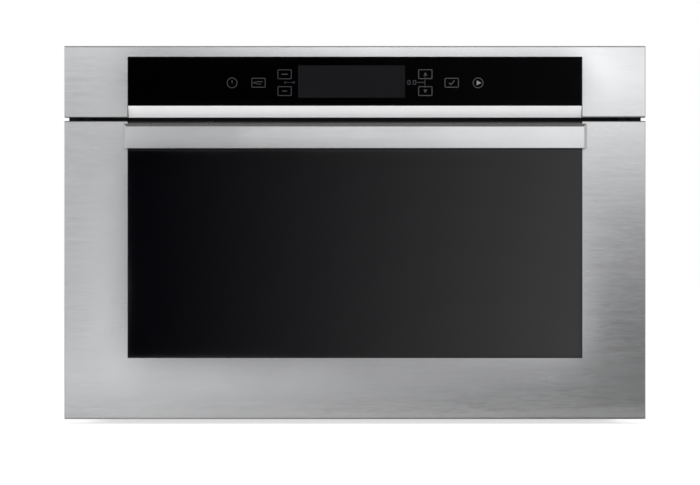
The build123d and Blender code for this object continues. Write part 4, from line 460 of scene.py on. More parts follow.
@dataclass(frozen=True)
class Perforated(Finish):
    """Painted sheet with close round holes in staggered rows."""

    pitch: float = 0.0022
    hole: float = 0.62
    soft: float = 0.03
    row: float = 1.732

    def sockets(self, sheet: Sheet) -> Sockets:
        """Cuts the holes by alpha on the two square grids that make staggered rows."""
        nearest: list[Socket] = []
        for shift in (0.0, 0.5):
            cell = sheet.place((1.0 / self.pitch, 0.0, 1.0 / (self.pitch * self.row)), (shift, 0.0, shift))
            middle = sheet.vector("SUBTRACT", sheet.vector("FRACTION", cell)[0], (0.5, 0.0, 0.5))[0]
            nearest.append(sheet.vector("LENGTH", sheet.vector("MULTIPLY", middle, (1.0, 0.0, self.row))[0])["Value"])
        away = sheet.maths("MINIMUM", *nearest)
        worn = sheet.noise(sheet.here(), scale=80.0, detail=3.0)
        return {"Alpha": sheet.remap(away, self.hole / 2 - self.soft, self.hole / 2 + self.soft),
                "Roughness": self.spread(sheet, worn, low=0.3, high=0.7, less=0.08, more=0.08)}


# ---------------------------------------------------------------- finishes of this oven

STEEL = BrushedSteel("brushed_fascia_steel", (0.60, 0.60, 0.605), 0.19, grain=(95.0, 95.0, 850.0),
                     depth=0.0000025, contrast=0.17)
# Grip strip: the same steel painted much lighter (0.93 against 0.60) and mostly non-metal so the lamps light it, a
# painted highlight standing in for the floor it mirrors.
GRIP_STEEL_PAINTED_BRIGHT = BrushedSteel("grip_strip_steel_painted_bright", (0.93, 0.93, 0.935), 0.36, contrast=0.04, metal=0.30)
BAR_STEEL = BrushedSteel("handle_bar_steel", (0.62, 0.62, 0.625), 0.18, grain=(30.0, 30.0, 900.0), contrast=0.12)
PANEL_GLASS = PrintedGlass("black_panel_glass", (0.0003, 0.0003, 0.0005), 0.02, smudge=0.02)
DOOR_GLASS = PrintedGlass("black_door_glass", (0.0012, 0.0011, 0.0018), 0.03)
DISPLAY_GLASS = PrintedGlass("display_window_glass", (0.0064, 0.0064, 0.0072), 0.03)
WINDOW_GLASS = ClearGlass("inner_window_glass", (0.93, 0.95, 0.95), 0.02)
PLATE_GLASS = ClearGlass("turntable_glass", (0.90, 0.94, 0.94), 0.03, wave=0.00012)
BULB_GLASS = ClearGlass("bulb_glass", (0.95, 0.95, 0.93), 0.01)
ZINC = ZincSheet("galvanised_casing", (0.56, 0.57, 0.58), 0.36)
# The front frame's black is its paint; its low gloss dims what the gaps round the front show of it, a painted shade.
FRAME_PAINT = Enamel("front_frame_paint", (0.010, 0.010, 0.011), 0.50, speck=(0.03, 0.03, 0.03), gloss=1.2)
CAVITY_ENAMEL = Enamel("cavity_enamel", (0.50, 0.51, 0.52), 0.32, speck=(0.78, 0.78, 0.78))
SCREEN_PAINT = Perforated("door_screen_paint", (0.035, 0.035, 0.037), 0.5)
CHOKE_STEEL = PlatedSteel("choke_frame_steel", (0.50, 0.50, 0.51), 0.38)
BLACK_MOULDING = Moulding("black_moulding", (0.020, 0.020, 0.022), 0.46)
# Panel carrier seen in the gap under the panel: the black moulding painted darker, rougher and less glossy, painted
# shade for the shadow in the gap.
SHADED_RECESS_MOULDING = Moulding("recess_moulding_painted_shade", (0.006, 0.006, 0.007), 0.62, gloss=1.2)
GREY_MOULDING = Moulding("grey_moulding", (0.40, 0.41, 0.42), 0.45)
WHITE_MOULDING = Moulding("white_moulding", (0.72, 0.72, 0.70), 0.42)
FOOT_RUBBER = Moulding("foot_rubber", (0.030, 0.029, 0.028), 0.72, grain=900.0, depth=0.00008)
ZINC_PLATE = PlatedSteel("zinc_plated_steel", (0.66, 0.66, 0.63), 0.30)
NICKEL_PLATE = PlatedSteel("nickel_plated_steel", (0.70, 0.69, 0.66), 0.26)
BLACKENED_STEEL = PlatedSteel("blackened_steel", (0.020, 0.020, 0.021), 0.45)
SPRING_WIRE = PlatedSteel("spring_wire", (0.42, 0.42, 0.43), 0.28)
MILL_ALUMINIUM = PlatedSteel("mill_aluminium", (0.74, 0.75, 0.76), 0.34)
POST_STEEL = PlatedSteel("turned_post_steel", (0.60, 0.60, 0.61), 0.30)
COPPER = Layered("enamelled_copper", (0.62, 0.27, 0.10), 0.32, lines=(0.0, 0.0, 900.0))
IRON = Layered("laminated_iron", (0.16, 0.16, 0.17), 0.42, lines=(0.0, 1600.0, 0.0), metal=0.7)
BOARD = CircuitBoard("circuit_board", (0.020, 0.095, 0.045), 0.30)
MICA = Flakes("pressed_mica", (0.48, 0.44, 0.36), 0.42)
DIM_PRINT = Moulding("dim_panel_print", (0.0075, 0.0075, 0.0085), 0.5, dust=0.0)
SOFT_PRINT = Moulding("soft_panel_print", (0.0100, 0.0100, 0.0110), 0.5, dust=0.0)
CLEAR_PRINT = Moulding("clear_panel_print", (0.0185, 0.0190, 0.0205), 0.5, dust=0.0)
BRIGHT_PRINT = Moulding("bright_panel_print", (0.145, 0.145, 0.150), 0.5, dust=0.0)


# ---------------------------------------------------------------- shapes

BROAD_RATIO = 8
ROUNDING_SHARE = 0.45


def finished(shape: Shape, name: str, finish: Finish, body: str, stands_for: Sequence[str] = (),
             smooth: float = 35.0, crisp: bool = True) -> bpy.types.Object:
    """Makes an object of a bmesh, dresses it and lets it ride.

    Args:
        shape: the shape, in the model's frame; it is freed.
        name: the piece's name.
        finish: its finish.
        body: the body it rides on.
        stands_for: nodes that it replaces.
        smooth: faces meeting at less than this angle, in degrees, are shaded as one.
        crisp: whether a face BROAD_RATIO times its neighbour keeps its own shading, as a flat one beside a bevel.

    Returns:
        The piece.
    """
    bmesh.ops.remove_doubles(shape, verts=shape.verts, dist=TINY)
    bmesh.ops.recalc_face_normals(shape, faces=shape.faces)
    for face in shape.faces:
        face.smooth = True
    for edge in shape.edges:
        edge.smooth = edge.is_manifold and edge.calc_face_angle(pi) < radians(smooth)
        if crisp and edge.smooth:
            smaller, larger = sorted(face.calc_area() for face in edge.link_faces)
            edge.smooth = larger < BROAD_RATIO * smaller
    made = new_object(shape, name, finish.material())
    bpy.context.scene.collection.objects.link(made)
    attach(made, body)
    if stands_for:
        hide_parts(*stands_for)
    log.info("%-26s %6d faces on %s", name, len(made.data.polygons), body)
    return made


def new_object(shape: Shape, name: str, material: bpy.types.Material) -> bpy.types.Object:
    """An object of a bmesh, which is freed, in one material."""
    mesh = bpy.data.meshes.new(name)
    shape.to_mesh(mesh)
    shape.free()
    mesh.materials.append(material)
    return bpy.data.objects.new(name, mesh)


def dress(finish: Finish, nodes: Iterable[str]) -> None:
    """Gives carried nodes a finish."""
    for name in nodes:
        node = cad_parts[name]
        if not node.material_slots:
            node.data.materials.append(finish.material())
        for slot in node.material_slots:
            slot.material = finish.material()
        log.info("%-26s dressed in %s", name, finish.name)


def block(shape: Shape, low: Point, high: Point) -> list[bmesh.types.BMVert]:
    """Adds a box between two corners to a shape and returns its vertices."""
    size, middle = Vector(high) - Vector(low), (Vector(high) + Vector(low)) / 2
    matrix = Matrix.Translation(middle) @ Matrix.Diagonal((*size, 1.0))
    return bmesh.ops.create_cube(shape, size=1.0, matrix=matrix)["verts"]


def edges_of(verts: Sequence[bmesh.types.BMVert], wanted: Callable[[Edge], bool]) -> list[Edge]:
    """Edges between the given vertices that pass a test."""
    inside = set(verts)
    found = {edge for vert in verts for edge in vert.link_edges if edge.other_vert(vert) in inside}
    return [edge for edge in found if wanted(edge)]


def round_edges(shape: Shape, edges: Sequence[Edge], radius: float, steps: int = 3) -> None:
    """Rounds edges with a bevel of a given radius."""
    bmesh.ops.bevel(shape, geom=list(edges), offset=radius, offset_type="OFFSET", affect="EDGES",
                    segments=steps, profile=0.5, material=-1, clamp_overlap=True)


def rod(shape: Shape, start: Sequence[float], end: Sequence[float], radius: float, sides: int) -> None:
    """Adds a round rod between two points."""
    way = Vector(end) - Vector(start)
    matrix = Matrix.Translation((Vector(start) + Vector(end)) / 2) @ turn_to(way)
    bmesh.ops.create_cone(shape, cap_ends=True, cap_tris=False, segments=sides, radius1=radius, radius2=radius,
                          depth=way.length, matrix=matrix)


def turn_to(way: Sequence[float]) -> Matrix:
    """Turns Z to a direction."""
    return Vector(way).to_track_quat("Z", "Y").to_matrix().to_4x4()


def turned(shape: Shape, outline: Outline, origin: Sequence[float], axis: Sequence[float], steps: int,
           out: Point = X_AXIS) -> None:
    """Spins an outline a full turn round an axis.

    Args:
        shape: the bmesh to add to.
        outline: points (radius, place along the axis), in order.
        origin: the zero of places along the axis.
        axis: the axis' direction, of length 1.
        steps: faces round the turn.
        out: the side on which the outline lies, square to the axis.
    """
    verts = [shape.verts.new(Vector(origin) + Vector(out) * radius + Vector(axis) * along) for radius, along in outline]
    edges = [shape.edges.new(pair) for pair in zip(verts, verts[1:])]
    bmesh.ops.spin(shape, geom=verts + edges, cent=origin, axis=axis, dvec=(0.0, 0.0, 0.0), angle=2 * pi,
                   steps=steps, use_merge=True, use_duplicate=False)
    bmesh.ops.remove_doubles(shape, verts=shape.verts, dist=TINY)


def plate(shape: Shape, outlines: Sequence[Outline], front: float, back: float) -> None:
    """Adds a flat plate between two planes square to Y.

    Args:
        shape: the bmesh to add to.
        outlines: closed outlines of corners (x, z), the rim first and then any holes.
        front: Y of the outlined face.
        back: Y of the other face.
    """
    edges: list[Edge] = []
    for outline in outlines:
        verts = [shape.verts.new((x, front, z)) for x, z in outline]
        edges += [shape.edges.new(pair) for pair in zip(verts, verts[1:] + verts[:1])]
    filled = bmesh.ops.triangle_fill(shape, edges=edges, use_beauty=True, use_dissolve=False)["geom"]
    faces = [part for part in filled if isinstance(part, bmesh.types.BMFace)]
    grown = bmesh.ops.extrude_face_region(shape, geom=faces)["geom"]
    moved = [part for part in grown if isinstance(part, bmesh.types.BMVert)]
    bmesh.ops.translate(shape, verts=moved, vec=(0.0, back - front, 0.0))


def circle(x: float, z: float, radius: float, steps: int) -> list[Flat]:
    """Corners (x, z) round a circle."""
    turns = [2 * pi * step / steps for step in range(steps)]
    return [(x + radius * cos(turn), z + radius * sin(turn)) for turn in turns]


def softened(outline: Outline, radius: float, steps: int = 3) -> list[Flat]:
    """Rounds the inner corners of an open outline.

    Args:
        outline: its corners.
        radius: how far along each side a rounding starts, up to ROUNDING_SHARE of the side.
        steps: segments in each rounding.

    Returns:
        The rounded outline.
    """
    made = [tuple(outline[0])]
    for before, corner, after in zip(outline, outline[1:], outline[2:]):
        middle = Vector(corner)
        sides = [Vector(end) - middle for end in (before, after)]
        first, last = (middle + side.normalized() * min(radius, side.length * ROUNDING_SHARE) for side in sides)
        for step in range(steps + 1):
            share = step / steps
            made.append(tuple(first * (1 - share) ** 2 + middle * 2 * share * (1 - share) + last * share ** 2))
    return made + [tuple(outline[-1])]


# ---------------------------------------------------------------- door glass and handle

DOOR_FACE = -0.207
HANDLE_SCREW = (0.214, 0.2942)


@dataclass
class DoorGlass:
    """The door's black glass, drilled for the handle's screws."""

    half: float = 0.24075
    low: float = 0.0595
    high: float = 0.3092
    back: float = -0.203
    arris: float = 0.0006
    bore_radius: float = 0.0035
    bore_steps: int = 32

    def build(self) -> None:
        """Cuts the plate with its two bores and arrises the rim of its face."""
        shape = bmesh.new()
        rim = [(-self.half, self.low), (self.half, self.low), (self.half, self.high), (-self.half, self.high)]
        bores = [circle(side * HANDLE_SCREW[0], HANDLE_SCREW[1], self.bore_radius, self.bore_steps) for side in SIDES]
        plate(shape, [rim, *bores], DOOR_FACE, self.back)
        round_edges(shape, [edge for edge in shape.edges if self.on_rim(edge)], self.arris, steps=2)
        finished(shape, "door_glass_ground", DOOR_GLASS, "door", ("door_glass",), smooth=20.0)

    def on_rim(self, edge: Edge) -> bool:
        """Whether an edge lies on the outer rim of the face."""
        first, last = (vert.co for vert in edge.verts)
        if max(abs(first.y - DOOR_FACE), abs(last.y - DOOR_FACE)) > TINY:
            return False
        upright = abs(first.x - last.x) < TINY and abs(abs(first.x) - self.half) < TINY
        level = abs(first.z - last.z) < TINY and min(abs(first.z - self.low), abs(first.z - self.high)) < TINY
        return upright or level


@dataclass
class Handle:
    """The solid bar handle on two turned posts."""

    half_length: float = 0.236
    low: float = 0.2816
    high: float = 0.3068
    front: float = -0.234
    back: float = -0.224
    top_bevel: float = 0.003
    edge_bevel: float = 0.00036
    post_radius: float = 0.006
    neck_radius: float = 0.0056
    foot_radius: float = 0.008
    foot_height: float = 0.002
    bore_radius: float = 0.00195
    bore_depth: float = 0.010

    def build(self) -> None:
        """Builds the bar and its posts."""
        self.build_bar()
        self.build_posts()

    def build_bar(self) -> None:
        """Mills the bar: a broad bevel along the top and both ends, a small one elsewhere."""
        shape = bmesh.new()
        verts = block(shape, (-self.half_length, self.front, self.low), (self.half_length, self.back, self.high))
        round_edges(shape, edges_of(verts, self.is_broad), self.top_bevel, steps=1)
        sharp = [edge for edge in shape.edges if edge.is_manifold and edge.calc_face_angle(0.0) > radians(30)]
        round_edges(shape, sharp, self.edge_bevel, steps=2)
        finished(shape, "handle_bar_milled", BAR_STEEL, "door", ("door_handle",), smooth=28.0)

    def is_broad(self, edge: Edge) -> bool:
        """Whether an edge is a front one along the top or at an end."""
        front = all(abs(vert.co.y - self.front) < TINY for vert in edge.verts)
        top = all(abs(vert.co.z - self.high) < TINY for vert in edge.verts)
        return front and (top or abs(edge.verts[0].co.x - edge.verts[1].co.x) < TINY)

    def build_posts(self) -> None:
        """Turns the two posts with a foot, a neck groove and the bore for the screw."""
        shape = bmesh.new()
        length = DOOR_FACE - self.back
        outline = [(0.0, self.bore_depth), (self.bore_radius, self.bore_depth), (self.bore_radius, 0.0),
                   (self.foot_radius, 0.0), (self.foot_radius, self.foot_height - 0.0004),
                   (self.foot_radius - 0.0004, self.foot_height), (self.post_radius, self.foot_height + 0.0006),
                   (self.post_radius, length * 0.55), (self.neck_radius, length * 0.57),
                   (self.neck_radius, length * 0.62), (self.post_radius, length * 0.64),
                   (self.post_radius, length), (0.0, length)]
        outline = [(radius, DOOR_FACE - height) for radius, height in outline]
        for side in SIDES:
            turned(shape, outline, (side * HANDLE_SCREW[0], 0.0, HANDLE_SCREW[1]), Y_AXIS, steps=40)
        finished(shape, "handle_posts_turned", POST_STEEL, "door", ("handle_posts",), smooth=35.0)


# ---------------------------------------------------------------- control panel


class Print(Enum):
    """The ink of a printed or lit sign."""

    DIM = DIM_PRINT
    SOFT = SOFT_PRINT
    CLEAR = CLEAR_PRINT
    BRIGHT = BRIGHT_PRINT


@dataclass
class ControlPanel:
    """The upper panel's glass, its display window and its touch signs."""

    glass_half: float = 0.23275
    glass_low: float = 0.3256
    glass_high: float = 0.3760
    glass_face: float = -0.2078
    glass_back: float = -0.2040
    arris: float = 0.0005
    ink: float = 0.00005
    line: float = 0.0009
    thin: float = 0.0008
    hair: float = 0.0007
    display_x: float = -0.0035
    display_z: float = 0.3505
    display_size: Flat = (0.1095, 0.033)
    display_corner: float = 0.0008
    arrow_head: Flat = (0.0022, 0.0014)
    arrow_shaft: Flat = (0.0021, 0.0036)
    frame_half: Flat = (0.0073, 0.0050)
    frame_corner: float = 0.0012
    frame_steps: int = 4
    signs: dict[Print, Shape] = field(default_factory=lambda: {kind: bmesh.new() for kind in Print})

    def build(self) -> None:
        """Builds the glass, the window and the signs."""
        self.build_glass()
        self.build_display()
        self.print_left_signs()
        self.print_right_signs()
        for kind, shape in self.signs.items():
            finished(shape, f"panel_signs_{kind.name.lower()}", kind.value, "casing", (), smooth=30.0)

    def build_glass(self) -> None:
        """Grinds the panel glass with an arrised rim."""
        shape = bmesh.new()
        verts = block(shape, (-self.glass_half, self.glass_face, self.glass_low),
                      (self.glass_half, self.glass_back, self.glass_high))
        rim = edges_of(verts, lambda edge: all(abs(vert.co.y - self.glass_face) < TINY for vert in edge.verts))
        round_edges(shape, rim, self.arris, steps=2)
        finished(shape, "control_glass_ground", PANEL_GLASS, "casing", ("control_glass",), smooth=30.0)

    def build_display(self) -> None:
        """Lays the window's tinted film on the glass, a hair above it."""
        shape = bmesh.new()
        width, height = self.display_size
        verts = block(shape, (self.display_x - width / 2, self.glass_face - 2 * self.ink, self.display_z - height / 2),
                      (self.display_x + width / 2, self.glass_face + self.ink, self.display_z + height / 2))
        upright = edges_of(verts, lambda edge: abs(edge.verts[0].co.y - edge.verts[1].co.y) > TINY)
        round_edges(shape, upright, self.display_corner, steps=3)
        finished(shape, "display_window", DISPLAY_GLASS, "casing", (), smooth=30.0)

    def print_left_signs(self) -> None:
        """Prints the clock, the list key, and two keys with a ring, dashes and an arrow between them."""
        self.ring(Print.SOFT, -0.1258, 0.3492, radius=0.0055)
        self.bar(Print.SOFT, (-0.1258, 0.3488), (-0.1258, 0.3519), width=0.0011)
        self.frame_sign(Print.SOFT, -0.0987, 0.3493)
        self.arrow(Print.SOFT, (-0.1042, 0.3493), -1)
        self.bar(Print.SOFT, (-0.1010, 0.3505), (-0.0945, 0.3505), self.thin)
        self.bar(Print.SOFT, (-0.1010, 0.3481), (-0.0960, 0.3481), self.thin)
        for z, half in ((0.3580, 0.0032), (0.3408, 0.0025)):
            self.frame_sign(Print.DIM, -0.0720, z)
            self.bar(Print.DIM, (-0.0720 - half, z), (-0.0720 + half, z), width=0.0012)
        self.ring(Print.DIM, -0.0713, 0.3496, radius=0.0010)
        for start in (-0.0694, -0.0673, -0.0652):
            self.bar(Print.DIM, (start, 0.3496), (start + 0.0012, 0.3496), self.hair)
        self.arrow(Print.DIM, (-0.0610, 0.3496), 1)

    def print_right_signs(self) -> None:
        """Prints two small boxes, the up and down keys on their stem, the tick and the start key."""
        for x in (0.0535, 0.0592):
            for z in (0.3477, 0.3515):
                self.bar(Print.SOFT, (x, z), (x + 0.0034, z), self.thin)
            for side in (x + 0.0004, x + 0.0030):
                self.bar(Print.SOFT, (side, 0.3477), (side, 0.3515), self.thin)
        self.bar(Print.SOFT, (0.0630, 0.3496), (0.0712, 0.3496), self.thin)
        self.bar(Print.SOFT, (0.0716, 0.3437), (0.0716, 0.3555), self.thin)
        for z, shift, turn in ((0.3581, -0.0001, 90.0), (0.3408, 0.0001, 270.0)):
            self.frame_sign(Print.CLEAR, 0.0720, z)
            self.triangle(Print.CLEAR, (0.0720, z + shift), radius=0.0024, turn=turn)
        self.frame_sign(Print.CLEAR, 0.0990, 0.3493)
        self.bar(Print.CLEAR, (0.0963, 0.3492), (0.0982, 0.3473), width=0.0011)
        self.bar(Print.CLEAR, (0.0982, 0.3473), (0.1018, 0.3515), width=0.0011)
        self.ring(Print.CLEAR, 0.1260, 0.3492, radius=0.0055)
        self.triangle(Print.BRIGHT, (0.1263, 0.3492), radius=0.0030, turn=0.0)

    def flat(self, kind: Print, *outlines: Outline) -> None:
        """Prints the area within a closed outline of corners (x, z), less any holes outlined after it."""
        plate(self.signs[kind], outlines, self.glass_face - 2 * self.ink, self.glass_face + self.ink)

    def bar(self, kind: Print, start: Flat, end: Flat, width: float) -> None:
        """Prints a straight line of a width."""
        first, last = Vector(start), Vector(end)
        side = (last - first).normalized().orthogonal() * width / 2
        self.flat(kind, [tuple(first + side), tuple(last + side), tuple(last - side), tuple(first - side)])

    def triangle(self, kind: Print, middle: Flat, radius: float, turn: float) -> None:
        """Prints a filled triangle that points along a turn in degrees."""
        ways = [radians(turn + part) for part in (0.0, 125.0, 235.0)]
        self.flat(kind, [(middle[0] + radius * cos(way), middle[1] + radius * sin(way)) for way in ways])

    def arrow(self, kind: Print, tip: Flat, way: int) -> None:
        """Prints a level arrow head and its short shaft."""
        (x, z), (length, half), (start, end) = tip, self.arrow_head, self.arrow_shaft
        self.flat(kind, [tip, (x - way * length, z + half), (x - way * length, z - half)])
        self.bar(kind, (x - way * start, z), (x - way * end, z), self.hair)

    def ring(self, kind: Print, x: float, z: float, radius: float) -> None:
        """Prints a ring of the line's width."""
        steps = 40 if radius > 0.002 else 12
        self.flat(kind, circle(x, z, radius, steps), circle(x, z, max(radius - self.line, self.ink), steps))

    def frame_sign(self, kind: Print, x: float, z: float) -> None:
        """Prints the rounded rectangle that frames a touch sign."""
        self.flat(kind, *(self.rounded(x, z, radius) for radius in (self.frame_corner, self.frame_corner - self.line)))

    def rounded(self, x: float, z: float, radius: float) -> list[Flat]:
        """Corners of the frame's outline with a radius round its four corner centres."""
        reach_x, reach_z = (half - self.frame_corner for half in self.frame_half)
        made: list[Flat] = []
        for side_x, side_z, start in ((1, 1, 0), (-1, 1, 90), (-1, -1, 180), (1, -1, 270)):
            for step in range(self.frame_steps + 1):
                turn = radians(start + 90.0 * step / self.frame_steps)
                made.append((x + side_x * reach_x + radius * cos(turn), z + side_z * reach_z + radius * sin(turn)))
        return made


# ---------------------------------------------------------------- turned pieces


@dataclass
class Turntable:
    """Pressed glass plate, its drive lugs, the roller ring and three rollers."""

    centre_y: float = 0.0182
    plate_low: float = 0.0666
    radius: float = 0.1625
    flat: float = 0.1485
    thickness: float = 0.0045
    rim: float = 0.012
    lip: float = 0.0012
    hub: float = 0.026
    hub_rise: float = 0.0044
    lug_circle: float = 0.0105
    lug_radius: float = 0.0025
    lug_height: float = 0.0041
    lug_turn: float = 60.0
    roller_z: float = 0.0583
    track: float = 0.099
    roller_radius: float = 0.008
    roller_width: float = 0.008
    hub_sink: float = 0.0012
    axle: float = 0.0015
    axle_play: float = 0.00005
    ring_outer: float = 0.0945
    ring_width: float = 0.006
    ring_height: float = 0.006
    collar_start: float = 0.1035
    collar_radius: float = 0.0026
    collar_width: float = 0.0014
    turns: tuple[float, ...] = (90.0, 210.0, 330.0)

    def build(self) -> None:
        """Builds the plate, the ring and the rollers."""
        self.build_plate()
        self.build_ring()
        for number, turn in enumerate(self.turns, 1):
            self.build_roller(f"roller_{number}", turn)

    def build_plate(self) -> None:
        """Presses the plate: raised hub, two shallow ridges under it, a flared rim with a round lip."""
        wall, foot = self.thickness, self.hub + self.hub_rise
        below = [(0.0, self.hub_rise), (self.hub, self.hub_rise), (foot, 0.0), (0.060, 0.0), (0.0615, 0.0007),
                 (0.0645, 0.0007), (0.066, 0.0), (self.flat, 0.0), (self.radius, self.rim - wall)]
        above = [(self.radius, self.rim - self.lip), (self.radius - self.lip, self.rim),
                 (self.radius - wall + self.lip, self.rim), (self.radius - wall, self.rim - 0.0008),
                 (self.flat - wall / 2, wall), (0.120, wall), (0.1185, wall - 0.0006), (0.1155, wall - 0.0006),
                 (0.114, wall), (foot, wall), (self.hub, wall + self.hub_rise), (0.0, wall + self.hub_rise)]
        shape = bmesh.new()
        turned(shape, softened(below + above, radius=0.003), (0.0, self.centre_y, self.plate_low), Z_AXIS, steps=128)
        high = self.plate_low + self.hub_rise
        for turn in self.turns:
            way = radians(turn + self.lug_turn)
            x, y = self.lug_circle * cos(way), self.centre_y + self.lug_circle * sin(way)
            rod(shape, (x, y, high - self.lug_height), (x, y, high), self.lug_radius, sides=24)
        finished(shape, "turntable_pressed_plate", PLATE_GLASS, "turntable", ("glass_turntable",),
                 smooth=40.0, crisp=False)

    def build_ring(self) -> None:
        """Moulds the ring with round edges, its three axles and their collars."""
        shape = bmesh.new()
        half, outer, inner = self.ring_height / 2, self.ring_outer, self.ring_outer - self.ring_width
        middle = (inner + outer) / 2
        outline = softened([(middle, -half), (outer, -half), (outer, half), (inner, half), (inner, -half),
                            (middle, -half)], radius=0.0009)
        turned(shape, outline, (0.0, self.centre_y, self.roller_z), Z_AXIS, steps=96)
        start, end = self.collar_start, self.collar_start + self.collar_width
        for turn in self.turns:
            self.on_spoke(shape, [(0.0, middle), (self.axle, middle), (self.axle, start), (self.collar_radius, start),
                                  (self.collar_radius, end - 0.0004), (self.collar_radius - 0.0005, end), (0.0, end)],
                          turn, steps=28)
        finished(shape, "roller_ring_moulded", GREY_MOULDING, "ring", ("roller_ring",),
                 smooth=40.0, crisp=False)

    def build_roller(self, name: str, turn: float) -> None:
        """Moulds one roller on its spoke's turn: a tyre with round shoulders and a sunk hub."""
        start, end = self.track - self.roller_width / 2, self.track + self.roller_width / 2
        bore, sunk_start, sunk_end = self.axle + self.axle_play, start + self.hub_sink, end - self.hub_sink
        outline = softened([(bore, start), (0.0034, start), (0.0042, sunk_start), (0.0062, sunk_start),
                            (0.0068, start), (self.roller_radius, start), (self.roller_radius, end), (0.0068, end),
                            (0.0062, sunk_end), (0.0042, sunk_end), (0.0034, end), (bore, end)], radius=0.0006)
        shape = bmesh.new()
        self.on_spoke(shape, outline + outline[:1], turn, steps=48)
        finished(shape, f"{name}_moulded", WHITE_MOULDING, name, (name,), smooth=40.0, crisp=False)

    def on_spoke(self, shape: Shape, outline: Outline, turn: float, steps: int) -> None:
        """Spins an outline (radius, distance out) round a spoke."""
        axis = (cos(radians(turn)), sin(radians(turn)), 0.0)
        turned(shape, outline, (0.0, self.centre_y, self.roller_z), axis, steps, Z_AXIS)


@dataclass
class Underside:
    """The rubber feet and the cable gland."""

    feet: tuple[Flat, ...] = ((-0.230, -0.0738), (-0.230, 0.184), (0.230, -0.0738), (0.230, 0.184))
    gland: Flat = (-0.205, 0.300)
    panel_front: float = 0.2228
    body_back: float = 0.224

    def build(self) -> None:
        """Builds both."""
        self.build_feet()
        self.build_gland()

    def build_feet(self) -> None:
        """Turns the feet: a hollow sole, a tread of two grooves and a push-in peg."""
        shape = bmesh.new()
        outline = [(0.0, 0.002), (0.006, 0.002), (0.0064, 0.0), (0.0095, 0.0), (0.00965, 0.001), (0.00985, 0.0023),
                   (0.0095, 0.0027), (0.0095, 0.0033), (0.0100, 0.0037), (0.01025, 0.0053), (0.0099, 0.0057),
                   (0.0099, 0.0063), (0.0104, 0.0067), (0.0108, 0.0088), (0.0108, 0.0094), (0.0102, 0.0100),
                   (0.0040, 0.0100), (0.0040, 0.0124), (0.0034, 0.0132), (0.0, 0.0132)]
        for x, y in self.feet:
            turned(shape, outline, (x, y, 0.0), Z_AXIS, steps=48)
        finished(shape, "feet_turned", FOOT_RUBBER, "casing", ("feet",), smooth=40.0, crisp=False)

    def build_gland(self) -> None:
        """Turns the cable gland with ribs on its nose and a lock ring behind the panel."""
        front, back = self.panel_front, self.body_back
        ring = [(0.0036, -0.006), (0.0096, -0.006), (0.0100, -0.0056), (0.0100, 0.0), (0.0078, 0.0)]
        nose = [(0.0078, 0.0), (0.0100, 0.0), (0.0100, 0.0022), (0.0094, 0.0026), (0.0094, 0.0032), (0.0098, 0.0036),
                (0.0095, 0.0052), (0.0089, 0.0056), (0.0089, 0.0062), (0.0090, 0.0066), (0.0080, 0.0086),
                (0.0066, 0.0098), (0.0058, 0.0100), (0.0044, 0.0100), (0.0036, 0.0092)]
        outline = [(radius, front + y) for radius, y in ring] + [(radius, back + y) for radius, y in nose]
        shape = bmesh.new()
        turned(shape, outline + outline[:1], (self.gland[0], 0.0, self.gland[1]), Y_AXIS, steps=48)
        finished(shape, "cable_gland_turned", BLACK_MOULDING, "casing", ("cable_gland",),
                 smooth=40.0, crisp=False)


